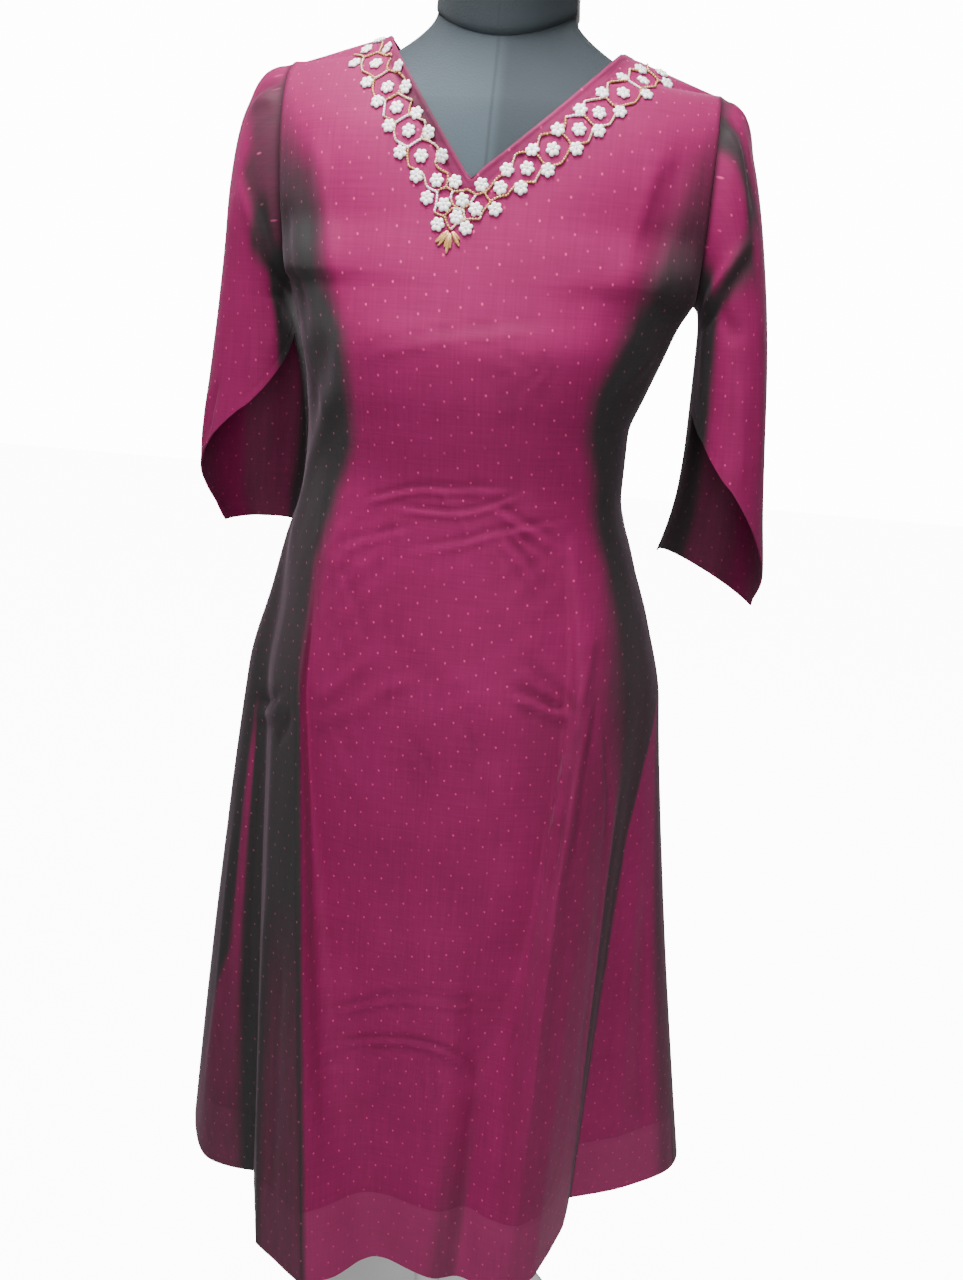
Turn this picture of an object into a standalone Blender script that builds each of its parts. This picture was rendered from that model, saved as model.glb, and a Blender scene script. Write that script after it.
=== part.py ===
"""Kurta tunic hanging on a limbless dress form.

Row frame: metres, +Z up, the form faces -Y, the origin is on the floor at the
middle of the base's underside. Heights are above that floor. The angle round
the body is 0 at the centre front and grows toward +X.
"""

import bmesh
import bpy
import numpy as np
from mathutils import Matrix
from mathutils.bvhtree import BVHTree

# Driving sizes
SHOULDER_TOP = 1.450          # the high point of the shoulder, beside the neck
CLOTH = 0.0016                # thickness of every cloth wall
SEAM_GAP = 0.0003             # distance between two panels at a seam
HEM = 0.350                   # height of the hem
FOLD_KNEE = 0.16              # how softly a fold starts, as a part of its length
SHOULDER_LEAN = 0.034         # the shoulders rise this much per metre toward -X
SHOULDER_RAISE = 0.007
UNDERARM = SHOULDER_TOP - 0.177
ARM_PLANE = 0.169             # half of the width across the shoulder seams
SHOULDER_TIP = SHOULDER_TOP - 0.023
NECK_HALF = 0.091             # half of the neckline's width at the shoulders
V_DEPTH = 0.110
V_BOW_LEFT = 0.97             # under 1 the edges of the V sag a little
V_BOW_RIGHT = 0.78
V_SHIFT = -0.010              # the V hangs a little to one side
BACK_NECK_DEPTH = 0.022
ARM_HALF_DEPTH = 0.052

# Cloth sections from the underarm down, below the last row the ring stays the
# same and the folds take over
CLOTH_SECTIONS = [
    # height, left,  right, front, back,  roundness
    (1.273, 0.1690, 0.1690, 0.114, 0.088, 2.50),
    (1.255, 0.1640, 0.1590, 0.1182, 0.089, 2.50),
    (1.225, 0.1570, 0.1480, 0.1255, 0.090, 2.45),
    (1.195, 0.1530, 0.1370, 0.1235, 0.087, 2.40),
    (1.165, 0.1520, 0.1280, 0.118, 0.083, 2.35),
    (1.115, 0.1560, 0.1280, 0.110, 0.080, 2.30),
    (1.050, 0.1700, 0.1460, 0.111, 0.087, 2.30),
    (1.000, 0.1760, 0.1620, 0.114, 0.098, 2.30),
    (0.920, 0.1880, 0.1760, 0.119, 0.112, 2.30),
    (0.350, 0.1900, 0.1770, 0.120, 0.114, 2.30),
]

# Folds of the skirt: where each line leaves the body ring and where it meets the
# hem. Bow under 1 swings out early, over 1 late. Soft is 1 for a rolled line and 0
# for a pressed one.
FOLDS = [
    # name,             angle, hem x,  hem y,  starts, bow,  soft
    ("centre dip",       -8.0, -0.026, -0.148, 0.80, 1.00, 1.0),
    ("right rise",        6.0,  0.022, -0.161, 0.75, 1.00, 1.0),
    ("right dip",        15.0,  0.050, -0.154, 0.62, 1.00, 1.0),
    ("right roll",       26.0,  0.080, -0.163, 0.75, 1.00, 1.0),
    ("right corner",     38.0,  0.102, -0.158, 1.10, 0.70, 0.0),
    ("right cheek",      47.0,  0.124, -0.141, 1.10, 0.90, 0.5),
    ("right turn",       57.0,  0.150, -0.080, 1.08, 1.05, 0.5),
    ("right valley",     68.0,  0.156, -0.042, 1.06, 1.10, 0.0),
    ("right flare",      78.0,  0.212, -0.018, 1.06, 1.08, 1.0),
    ("right edge",       88.0,  0.266,  0.018, 1.06, 1.08, 1.0),
    ("right side",      100.0,  0.277,  0.058, 1.06, 1.08, 1.0),
    ("back right fold", 117.0,  0.260,  0.116, 1.04, 1.10, 1.0),
    ("back right dip",  133.0,  0.196,  0.132, 1.00, 1.00, 0.7),
    ("back right roll", 150.0,  0.140,  0.180, 1.06, 1.00, 1.0),
    ("back inner dip",  165.0,  0.066,  0.156, 0.98, 1.00, 0.7),
    ("back centre",     180.0, -0.002,  0.184, 1.06, 1.00, 1.0),
    ("back left inner", 195.0, -0.072,  0.155, 0.98, 1.00, 0.7),
    ("back left roll",  210.0, -0.148,  0.172, 1.06, 1.00, 1.0),
    ("back left dip",   227.0, -0.206,  0.124, 1.00, 1.00, 0.7),
    ("back left fold",  243.0, -0.266,  0.100, 1.04, 0.95, 1.0),
    ("left side",       259.0, -0.292,  0.044, 1.08, 0.74, 1.0),
    ("left edge",       270.0, -0.285, -0.008, 1.10, 0.70, 1.0),
    ("left flare",      279.0, -0.250, -0.064, 1.10, 0.74, 1.0),
    ("left valley",     290.0, -0.190, -0.073, 1.08, 1.00, 0.0),
    ("left face",       299.0, -0.158, -0.156, 1.10, 1.00, 0.0),
    ("left corner",     312.5, -0.101, -0.190, 1.14, 1.00, 0.0),
    ("left roll",       323.0, -0.072, -0.178, 0.85, 1.00, 1.0),
    ("left dip",        337.0, -0.048, -0.154, 0.75, 1.00, 1.0),
]

# The form's own sections, hips to shoulders
FORM_SECTIONS = [
    # height, half,  front, back,  roundness
    (1.420, 0.1630, 0.073, 0.076, 2.60),
    (1.350, 0.1630, 0.0885, 0.086, 2.60),
    (1.273, 0.1590, 0.106, 0.081, 2.50),
    (1.250, 0.1470, 0.112, 0.082, 2.50),
    (1.225, 0.1360, 0.1160, 0.082, 2.45),
    (1.195, 0.1260, 0.114, 0.079, 2.40),
    (1.165, 0.1200, 0.108, 0.075, 2.35),
    (1.115, 0.1200, 0.099, 0.072, 2.30),
    (1.050, 0.1370, 0.100, 0.079, 2.30),
    (1.000, 0.1520, 0.103, 0.089, 2.30),
    (0.920, 0.1640, 0.107, 0.102, 2.30),
    (0.870, 0.1620, 0.105, 0.104, 2.30),
    (0.845, 0.1500, 0.095, 0.095, 2.30),
    (0.835, 0.1300, 0.080, 0.080, 2.20),
]

# Sleeves, from the armhole to the cuff: a ring leans from its outer point to its
# inner one. Drops are below SHOULDER_TOP, x is the distance from the middle.
SLEEVE_RIGHT = [
    # outer x, drop,  inner x, drop,  front, back,  y middle
    (0.1693, 0.0221, 0.1693, 0.1770, 0.052, 0.052, 0.000),
    (0.1860, 0.0330, 0.1735, 0.1815, 0.056, 0.054, 0.000),
    (0.2010, 0.0660, 0.1755, 0.1890, 0.057, 0.055, 0.001),
    (0.2150, 0.1120, 0.1765, 0.2000, 0.056, 0.054, 0.002),
    (0.2280, 0.1690, 0.1770, 0.2200, 0.053, 0.052, 0.003),
    (0.2380, 0.2300, 0.1775, 0.2520, 0.051, 0.050, 0.004),
    (0.2460, 0.2920, 0.1780, 0.2920, 0.050, 0.050, 0.005),
    (0.2540, 0.3540, 0.1760, 0.3340, 0.050, 0.052, 0.006),
    (0.2610, 0.4000, 0.1710, 0.3640, 0.050, 0.054, 0.008),
    (0.2630, 0.4370, 0.1650, 0.3880, 0.050, 0.056, 0.010),
]
SLEEVE_LEFT = [
    (0.1693, 0.0120, 0.1693, 0.1770, 0.052, 0.052, 0.000),
    (0.1880, 0.0185, 0.1735, 0.1815, 0.056, 0.054, 0.002),
    (0.2100, 0.0460, 0.1765, 0.1890, 0.057, 0.055, 0.006),
    (0.2250, 0.0960, 0.1750, 0.2030, 0.056, 0.055, 0.010),
    (0.2350, 0.1520, 0.1700, 0.2260, 0.053, 0.054, 0.014),
    (0.2460, 0.2080, 0.1660, 0.2600, 0.051, 0.053, 0.018),
    (0.2570, 0.2640, 0.1650, 0.3000, 0.050, 0.053, 0.022),
    (0.2660, 0.3200, 0.1690, 0.3420, 0.050, 0.054, 0.026),
    (0.2690, 0.3700, 0.1760, 0.3780, 0.050, 0.055, 0.028),
    (0.2620, 0.4050, 0.1820, 0.4020, 0.049, 0.055, 0.030),
]

# How far down each sleeve reaches round its tube, as a drop below SHOULDER_TOP.
# Round is 0 at the outer side, 90 at the front, 180 at the inner side.
CUT_RIGHT = [
    # round, drop
    (-30.0, 0.440), (0.0, 0.412), (25.0, 0.384), (50.0, 0.356), (90.0, 0.318),
    (130.0, 0.284), (166.0, 0.262), (176.0, 0.330), (188.0, 0.440), (330.0, 0.440),
]
CUT_LEFT = [
    (-30.0, 0.440), (-12.0, 0.384), (4.0, 0.362), (25.0, 0.343), (60.0, 0.312),
    (90.0, 0.286), (130.0, 0.250), (166.0, 0.220), (176.0, 0.300), (188.0, 0.440),
    (330.0, 0.440),
]

# Bead flowers round the V, in three rows beside each edge. The two sides hang a little
# differently, so each has its own distance from the edge.
FLOWER_RADIUS = 0.0056
FLOWER_RISE = 0.0022
FLOWER_SINK = 0.0008
STUD_FREE_TOP = 0.045         # no studs where the cloth rolls over the shoulder
FLOWERS = [
    # row, (across, height) of each flower in mm, seen from the front
    ("left inner", [
        (-98.7, 1452.9), (-88.0, 1443.3), (-74.8, 1426.6), (-65.9, 1411.1), (-55.0, 1393.4),
        (-44.3, 1378.3), (-32.7, 1362.1), (-20.5, 1346.2)]),
    ("left middle", [
        (-106.6, 1444.4), (-93.1, 1429.9), (-80.1, 1411.5), (-70.6, 1396.9), (-59.1, 1380.4),
        (-47.6, 1362.9), (-34.2, 1346.5), (-27.1, 1329.8)]),
    ("left outer", [
        (-111.7, 1431.2), (-97.4, 1415.3), (-86.3, 1400.7), (-74.9, 1383.5), (-64.1, 1365.0),
        (-49.9, 1348.9), (-40.5, 1334.0), (-30.7, 1315.8)]),
    ("under the V", [
        (-13.7, 1333.5), (-17.0, 1321.6)]),
    ("right inner", [
        (-0.6, 1344.9), (17.3, 1356.3), (33.8, 1371.6), (51.1, 1386.2), (65.7, 1401.8),
        (80.0, 1415.0), (93.3, 1429.7), (105.7, 1438.6)]),
    ("right middle", [
        (-3.3, 1327.9), (13.6, 1343.6), (32.0, 1358.0), (49.4, 1372.2), (66.6, 1387.4),
        (79.8, 1400.2), (95.3, 1416.4), (108.9, 1429.9), (122.0, 1439.4)]),
    ("right outer", [
        (-9.2, 1314.3), (11.2, 1328.7), (28.7, 1344.3), (47.2, 1357.6), (66.2, 1373.7),
        (80.9, 1387.4), (94.4, 1402.2), (112.2, 1417.3), (126.8, 1431.2)]),
]

# Neck, pole and base
NECK_RADIUS = 0.0575
NECK_TOP = SHOULDER_TOP + 0.085
NECK_SEAM_SIDE = SHOULDER_TOP + 0.030
NECK_SEAM_DIP = 0.030
SHOULDER_LIFT = 0.015
POLE_RADIUS = 0.015
BASE_RADIUS = 0.190
BASE_HEIGHT = 0.022


def smooth(x, xs, ys):
    """A curve through (xs, ys) that never overshoots, read at x."""
    xs, ys = np.asarray(xs, float), np.asarray(ys, float)
    if xs[0] > xs[-1]:
        xs, ys = xs[::-1], ys[::-1]
    run = np.diff(xs)
    rate = np.diff(ys) / run
    same = rate[:-1] * rate[1:] > 0
    middle = np.where(same, 2 * rate[:-1] * rate[1:] / np.where(same, rate[:-1] + rate[1:], 1), 0)
    slope = np.concatenate([[rate[0]], middle, [rate[-1]]])
    x = np.clip(x, xs[0], xs[-1])
    i = np.clip(np.searchsorted(xs, x, side="right") - 1, 0, len(run) - 1)
    t = (x - xs[i]) / run[i]
    a = ys[i] * (1 + 2 * t) * (1 - t) ** 2 + ys[i + 1] * t ** 2 * (3 - 2 * t)
    return a + run[i] * (slope[i] * t * (1 - t) ** 2 + slope[i + 1] * t ** 2 * (t - 1))


def ease(t):
    """0 to 1 with a soft start and end."""
    t = np.clip(t, 0, 1)
    return t * t * (3 - 2 * t)


def fold_hem(angle):
    """Where a line at this angle meets the hem, the height its fold starts at and its bow."""
    rows = FOLDS[-2:] + FOLDS + FOLDS[:3]
    turns = np.array([r[1] for r in rows])
    turns[:2] -= 360
    turns[-3:] += 360
    at = (np.asarray(angle, float) + 8.0) % 360 - 8.0
    i = np.clip(np.searchsorted(turns, at, side="right") - 1, 1, len(rows) - 3)
    t = (at - turns[i]) / (turns[i + 1] - turns[i])
    values = np.array([r[2:6] for r in rows])
    soft = np.array([r[6] for r in rows])
    run = turns[i + 1] - turns[i]
    slope = (values[2:] - values[:-2]) / (turns[2:] - turns[:-2])[:, None]
    slope = np.vstack([slope[:1], slope, slope[-1:]]) * soft[:, None]
    t, run = t[..., None], run[..., None]
    a = values[i] * (1 + 2 * t) * (1 - t) ** 2 + values[i + 1] * t ** 2 * (3 - 2 * t)
    return a + run * (slope[i] * t * (1 - t) ** 2 + slope[i + 1] * t ** 2 * (t - 1))


def body_ring(angle, height):
    """The plain ring of the cloth: an ellipse whose halves have their own sizes."""
    columns = np.array(CLOTH_SECTIONS).T
    left, right, front, back, power = (smooth(height, columns[0], c) for c in columns[1:])
    a = np.radians(angle)
    sine, cosine = np.sin(a), np.cos(a)
    x = np.where(sine < 0, -left, right) * np.abs(sine) ** (2 / power)
    y = np.where(cosine > 0, -front, back) * np.abs(cosine) ** (2 / power)
    return x, y


def skirt(angle, height):
    """A point of the cloth below the underarm: the body ring drawn out to the hem's folds."""
    x, y = body_ring(angle, height)
    hem = fold_hem(angle)
    way = np.clip((hem[..., 2] - height) / (hem[..., 2] - HEM), 0, 1)
    way = (np.hypot(way, FOLD_KNEE) - FOLD_KNEE) / (np.hypot(1, FOLD_KNEE) - FOLD_KNEE)
    way = way ** hem[..., 3]
    x = x + way * (hem[..., 0] - x)
    y = y + way * (hem[..., 1] - y)
    return np.stack([x, y, height + 0 * x], -1)


def shoulder_line(x, lower=0.0):
    """Height of the shoulder seam at a distance x from the middle."""
    fall = (SHOULDER_TOP - SHOULDER_TIP) / (ARM_PLANE - NECK_HALF)
    out = np.abs(x) - NECK_HALF
    lean = SHOULDER_RAISE - SHOULDER_LEAN * x
    return SHOULDER_TOP + lean - lower - np.where(out > 0, fall * out, 0.55 * out)


def arm_depth(height, half, top, bottom):
    """Half of the armhole's depth at a height, from front to back."""
    middle = (top + bottom) / 2
    reach = np.clip(np.abs(height - middle) / (top - middle), 0, 1)
    return half * (1 - reach ** 2.4) ** (1 / 2.0)


def chest_depth(x, height, centre, power, arm, ridge, half):
    """Depth of the chest or back at x, rolled over to the shoulder seam at its top."""
    roll_start = SHOULDER_TOP - 0.115
    up = np.clip((height - roll_start) / np.maximum(ridge - roll_start, 1e-6), 0, 1)
    roll = np.sqrt(1 - up ** 2.7)
    side = np.clip(np.abs(x) / half, 0, 1)
    loosen = ease((height - UNDERARM) / 0.05)
    root = power * (1 - loosen) + 1.15 * loosen
    across = (1 - side ** power) ** (1 / root)
    return arm + (centre * roll - arm) * across


CHEST = [
    # height, front, back
    (1.273, 0.114, 0.088),
    (1.330, 0.1015, 0.092),
    (1.380, 0.0905, 0.090),
    (1.420, 0.0810, 0.086),
    (1.480, 0.076, 0.080),
]


def yoke(side_x, way, back):
    """A point of the cloth above the underarm. Side_x is -1 to 1, way is 0 at the underarm."""
    x = side_x * ARM_PLANE + V_SHIFT * way * np.clip(1 - np.abs(side_x) * ARM_PLANE / NECK_HALF, 0, 1)
    ridge = shoulder_line(x)
    top_point = SHOULDER_TOP + SHOULDER_RAISE - SHOULDER_LEAN * x
    out = np.abs(x - V_SHIFT * np.clip(1 - np.abs(x) / NECK_HALF, 0, 1)) / NECK_HALF
    if back:
        neck = top_point - BACK_NECK_DEPTH * np.sqrt(np.clip(1 - out ** 2.2, 0, 1))
    else:
        bow = np.where(x < V_SHIFT * (1 + V_SHIFT / NECK_HALF), V_BOW_LEFT, V_BOW_RIGHT)
        neck = top_point - V_DEPTH * np.clip(1 - out, 0, 1) ** bow
    top = np.where(np.abs(x) < NECK_HALF, np.minimum(neck, ridge), ridge)
    height = UNDERARM + (top - UNDERARM) * np.sin(way * np.pi / 2) ** 1.02
    table = np.array(CHEST).T
    centre = smooth(height, table[0], table[2 if back else 1])
    tip = shoulder_line(np.where(x < 0, -ARM_PLANE, ARM_PLANE))
    arm = arm_depth(height, ARM_HALF_DEPTH, tip, UNDERARM)
    deep = chest_depth(x, height, centre, 2.5, arm, ridge, ARM_PLANE)
    return np.stack([x, deep if back else -deep, height], -1)


def panel_surface(back, sides, heights, ways):
    """Rows of a panel from hem to top. Sides run from -1 to 1 across the panel."""
    angle = 180 - 90 * sides if back else 90 * sides
    lower = [skirt(angle, np.full_like(angle, h)) for h in heights]
    across = np.sign(sides) * np.abs(np.sin(np.radians(90 * sides))) ** (2 / 2.5)
    upper = [yoke(across, w, back) for w in ways]
    return np.array(lower + upper)


def normals(points, outward):
    """Unit normals of a grid of points, turned to the side that outward names."""
    across = np.gradient(points, axis=1)
    along = np.gradient(points, axis=0)
    n = np.cross(across, along)
    n /= np.maximum(np.linalg.norm(n, axis=-1, keepdims=True), 1e-12)
    flip = np.sign(np.sum(n * outward, -1).mean())
    return n * flip


def make_material(name, colour, roughness, metallic=0.0):
    material = bpy.data.materials.new(name)
    material.use_nodes = True
    shader = material.node_tree.nodes["Principled BSDF"]
    shader.inputs["Base Color"].default_value = (*colour, 1.0)
    shader.inputs["Roughness"].default_value = roughness
    shader.inputs["Metallic"].default_value = metallic
    return material


def add_mesh(name, verts, faces, material, collection):
    mesh = bpy.data.meshes.new(name)
    mesh.from_pydata([tuple(v) for v in verts], [], faces)
    mesh.materials.append(material)
    body = bmesh.new()
    body.from_mesh(mesh)
    bmesh.ops.remove_doubles(body, verts=body.verts, dist=1e-7)
    bmesh.ops.recalc_face_normals(body, faces=body.faces)
    body.to_mesh(mesh)
    body.free()
    piece = bpy.data.objects.new(name, mesh)
    collection.objects.link(piece)
    return piece


def add_wall(name, outer, inner, closed, material, collection):
    """A cloth wall: an outer grid, an inner grid and the strips round their edges."""
    rows, cols = outer.shape[:2]
    verts = np.concatenate([outer.reshape(-1, 3), inner.reshape(-1, 3)])
    skin = rows * cols
    last = cols if closed else cols - 1
    faces = []
    for r in range(rows - 1):
        for c in range(last):
            a, b = r * cols + c, r * cols + (c + 1) % cols
            faces.append((a, b, b + cols, a + cols))
            faces.append((a + skin + cols, b + skin + cols, b + skin, a + skin))
    for c in range(last):
        d = (c + 1) % cols
        top = (rows - 1) * cols
        faces.append((d, c, c + skin, d + skin))
        faces.append((top + c, top + d, top + d + skin, top + c + skin))
    if not closed:
        for r in range(rows - 1):
            a, b = r * cols, (r + 1) * cols
            faces.append((a, b, b + skin, a + skin))
            a, b = a + cols - 1, b + cols - 1
            faces.append((b, a, a + skin, b + skin))
    return add_mesh(name, verts, faces, material, collection)


def add_turned(name, profile, segments, material, collection):
    """A round solid from (radius, height) pairs, closed by points on its axis."""
    angles = np.arange(segments) * 2 * np.pi / segments
    rings = [np.stack([r * np.cos(angles), r * np.sin(angles), h + 0 * angles], -1) for r, h in profile]
    verts = np.concatenate(rings + [np.array([[0, 0, profile[0][1]], [0, 0, profile[-1][1]]])])
    low, high = len(verts) - 2, len(verts) - 1
    faces = []
    for k in range(len(profile) - 1):
        for s in range(segments):
            a, b = k * segments + s, k * segments + (s + 1) % segments
            faces.append((a, b, b + segments, a + segments))
    base = (len(profile) - 1) * segments
    for s in range(segments):
        t = (s + 1) % segments
        faces.append((t, s, low))
        faces.append((base + s, base + t, high))
    return add_mesh(name, verts, faces, material, collection)


# Columns and rows of the two panels: a column on each fold line, and more between
FRONT_TURNS = [-90, -85, -81, -77, -73.5, -70, -66, -61, -55, -48.5, -44, -40, -37, -33, -29, -25, -21, -16,
               -12, -8, -4, 0, 3, 6, 10, 15, 19, 22, 26, 30, 34, 38, 42, 47, 52, 57, 62, 68, 72, 75, 78, 82,
               86, 90]
BACK_TURNS = [-90, -83, -75, -69, -63, -58, -53, -47, -41, -35, -30, -25, -20, -15, -10, -5, 0, 5, 10, 15, 20,
              25, 30, 36, 42, 47, 52, 57, 63, 69, 75, 80, 85, 90]
SKIRT_HEIGHTS = [0.350, 0.470, 0.590, 0.700, 0.800, 0.880, 0.950, 1.000, 1.040, 1.080, 1.115, 1.150, 1.185,
                 1.220, 1.250]
YOKE_WAYS = [0.0, 0.10, 0.21, 0.32, 0.44, 0.57, 0.70, 0.82, 0.92, 1.0]


def make_panel(name, back, turns, material, collection):
    """The front or back panel, its side edges half a seam gap back from the side seam."""
    sides = np.array(turns, float) / 90
    outer = panel_surface(back, sides, SKIRT_HEIGHTS, YOKE_WAYS)
    n = normals(outer, np.array([0.0, 1.0 if back else -1.0, 0.2]))
    low = len(SKIRT_HEIGHTS)
    for col, way in ((0, -1.0), (-1, 1.0)):
        n[:low + 1, col] = (way, 0, 0)
    for row in range(low + 1, outer.shape[0]):
        for col, way in ((0, -1.0), (-1, 1.0)):
            p = outer[row, col]
            rise = ease((p[2] - UNDERARM) / 0.06)
            middle = (SHOULDER_TIP + UNDERARM) / 2
            radial = np.array([0.0, p[1], p[2] - middle])
            radial /= np.linalg.norm(radial)
            mixed = radial * rise + np.array([way, 0, 0]) * (1 - rise)
            n[row, col] = mixed / np.linalg.norm(mixed)
    flat = np.abs(outer[-1, :, 0]) >= NECK_HALF
    upright = ease((np.abs(outer[-1, :, 0]) - NECK_HALF + 0.022) / 0.020)[:, None]
    mixed = n[-1] * (1 - upright) + np.array([0, 0, 1.0]) * upright
    n[-1] = mixed / np.linalg.norm(mixed, axis=1, keepdims=True)
    n[-1, 0] = n[-1, -1] = (0, 0, 1)
    push = SEAM_GAP / 2 if back else -SEAM_GAP / 2
    inner = outer - n * CLOTH
    for grid in (outer, inner):
        grid[:low + 1, 0, 1] += push
        grid[:low + 1, -1, 1] += push
        grid[-1, flat, 1] += push
    return add_wall(name, outer, inner, False, material, collection)


def raise_flowers(panel):
    """Low six-sided studs, one for each bead flower, joined to the outer face of the panel."""
    body = bmesh.new()
    body.from_mesh(panel.data)
    tree = BVHTree.FromBMesh(body)
    body.free()
    studs = bmesh.new()
    count = 0
    places = [place for row, line in FLOWERS for place in line]
    for x, height in np.array(places) / 1000:
        spot, normal, _, _ = tree.ray_cast((x, -1.0, height), (0.0, 1.0, 0.0))
        if spot is None or normal.y > -0.45 or height > float(shoulder_line(x)) - STUD_FREE_TOP:
            continue
        turn = normal.to_track_quat("Z", "Y").to_matrix().to_4x4()
        middle = spot + normal * (FLOWER_RISE - FLOWER_SINK) / 2
        bmesh.ops.create_cone(studs, cap_ends=True, segments=6, radius1=FLOWER_RADIUS,
                              radius2=FLOWER_RADIUS - 0.0010, depth=FLOWER_RISE + FLOWER_SINK,
                              matrix=Matrix.Translation(middle) @ turn)
        count += 1
    mesh = bpy.data.meshes.new("studs")
    studs.to_mesh(mesh)
    studs.free()
    tool = bpy.data.objects.new("studs", mesh)
    panel.users_collection[0].objects.link(tool)
    join = panel.modifiers.new("flowers", "BOOLEAN")
    join.operation = "UNION"
    join.solver = "MANIFOLD"
    join.object = tool
    graph = bpy.context.evaluated_depsgraph_get()
    done = bpy.data.meshes.new_from_object(panel.evaluated_get(graph))
    panel.modifiers.clear()
    panel.data = done
    bpy.data.objects.remove(tool, do_unlink=True)
    print(count, "flowers raised")


def sleeve_surface(table, cut, side, rounds, ways):
    """Rings of a sleeve from the armhole to the slanting edge."""
    columns = np.array(table).T
    steps = np.arange(len(table)) / (len(table) - 1)
    turn = np.radians(rounds)
    cut_table = np.array(cut)
    drop_end = np.interp((rounds + 30) % 360 - 30, cut_table[:, 0], cut_table[:, 1])

    def ring(step):
        ox, oz, ix, iz, front, back, middle = (smooth(step, steps, c) for c in columns)
        c, s = np.cos(turn), np.sin(turn)
        power = 2 / 2.25
        c = np.sign(c) * np.abs(c) ** power
        s = np.sign(s) * np.abs(s) ** power
        x = (ox + ix) / 2 + c * (ox - ix) / 2
        drop = (oz + iz) / 2 + c * (oz - iz) / 2
        y = middle - s * np.where(s > 0, front, back)
        return np.stack([side * x, y, SHOULDER_TOP - drop], -1)

    low, high = np.zeros_like(rounds), np.ones_like(rounds)
    for _ in range(30):
        mid = (low + high) / 2
        drop = SHOULDER_TOP - ring(mid)[..., 2]
        beyond = drop > drop_end
        high = np.where(beyond, mid, high)
        low = np.where(beyond, low, mid)
    end = np.where(drop_end > 0.43, 1.0, (low + high) / 2)
    return np.array([ring(end * w) for w in ways])


SLEEVE_ROUNDS = np.array([0, 18, 36, 54, 72, 90, 108, 126, 144, 158, 166, 176, 188, 202, 220, 240, 260, 280,
                          300, 320, 340], float)
SLEEVE_WAYS = [0.0, 0.07, 0.15, 0.24, 0.34, 0.45, 0.56, 0.67, 0.78, 0.89, 1.0]


def make_sleeve(name, table, cut, side, material, collection):
    outer = sleeve_surface(table, cut, side, SLEEVE_ROUNDS, np.array(SLEEVE_WAYS))
    wrapped = np.concatenate([outer[:, -1:], outer, outer[:, :1]], 1)
    n = normals(wrapped, np.zeros(3) + 1e-9)[:, 1:-1]
    centre = outer.mean(1, keepdims=True)
    n *= np.sign(np.sum(n * (outer - centre), -1).mean())
    middle = (SHOULDER_TIP + UNDERARM) / 2
    for col, turn in enumerate(SLEEVE_ROUNDS):
        p = outer[0, col]
        rise = ease((p[2] - UNDERARM) / 0.06)
        radial = np.array([0.0, p[1], p[2] - middle])
        radial /= np.linalg.norm(radial)
        mixed = radial * rise + np.array([-side, 0, 0]) * (1 - rise)
        n[0, col] = mixed / np.linalg.norm(mixed)
    return add_wall(name, outer, outer - n * CLOTH, True, material, collection)


def form_ring(height):
    """One ring of the form: front curve, side plate, back curve, side plate."""
    columns = np.array(FORM_SECTIONS).T
    half, front, back, power = (smooth(height, columns[0], c) for c in columns[1:])
    across = np.sin(np.radians(np.linspace(-90, 90, 15)))
    across = np.sign(across) * np.abs(across) ** (2 / power)
    arm = max(float(arm_depth(height, 0.044, SHOULDER_TIP - 0.009, UNDERARM + 0.010)), 0.006)
    x = across * half
    ridge = shoulder_line(x, 0.005)
    fore = chest_depth(x, height, front, power, arm, ridge, half)
    aft = chest_depth(x, height, back, power, arm, ridge, half)
    ring = [(px, -py) for px, py in zip(x, fore)] + [(px, py) for px, py in zip(x[::-1], aft[::-1])]
    return np.array([(px, py, height) for px, py in ring])


FORM_HEIGHTS = [0.835, 0.845, 0.870, 0.920, 0.970, 1.020, 1.070, 1.115, 1.165, 1.210, 1.250, 1.285, 1.320,
                1.350, 1.375, 1.393, 1.406]
NECK_WAYS = [0.10, 0.22, 0.36, 0.52, 0.68, 0.84, 1.0]


def neck_seam(turn):
    """Height of the seam between torso and neck: lowest at the front."""
    return NECK_SEAM_SIDE - NECK_SEAM_DIP * np.clip(-np.sin(turn), 0, 1) ** 1.5


def make_form(material, collection):
    """The torso, closed at the hips and ending at the neck, where the stub starts."""
    rings = [form_ring(h) for h in FORM_HEIGHTS]
    count = len(rings[0])
    base = rings[-1]
    turn = np.arctan2(base[:, 1] / 0.066, base[:, 0] / 0.163)
    neck = NECK_RADIUS * np.stack([np.cos(turn), np.sin(turn)], -1)
    lift = np.abs(np.cos(turn)) ** 1.5
    saddle = np.abs(np.cos(turn)) ** 3
    for way in NECK_WAYS:
        inward = 1 - (1 - way) ** (1.35 + 1.2 * lift)
        flat = base[:, :2] * (1 - inward)[:, None] + neck * inward[:, None]
        height = FORM_HEIGHTS[-1] * (1 - way) + neck_seam(turn) * way + SHOULDER_LIFT * saddle * np.sin(np.pi * way) ** 0.8
        rings.append(np.column_stack([flat, height]))
    verts = np.concatenate(rings)
    faces = []
    for k in range(len(rings) - 1):
        for s in range(count):
            a, b = k * count + s, k * count + (s + 1) % count
            faces.append((a, b, b + count, a + count))
    faces.append(tuple(range(count))[::-1])
    top = (len(rings) - 1) * count
    hub = len(verts)
    verts = np.vstack([verts, [0, 0, rings[-1][:, 2].mean()]])
    for s in range(count):
        faces.append((top + s, top + (s + 1) % count, hub))
    return add_mesh("form_torso", verts, faces, material, collection), rings[-1]


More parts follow.
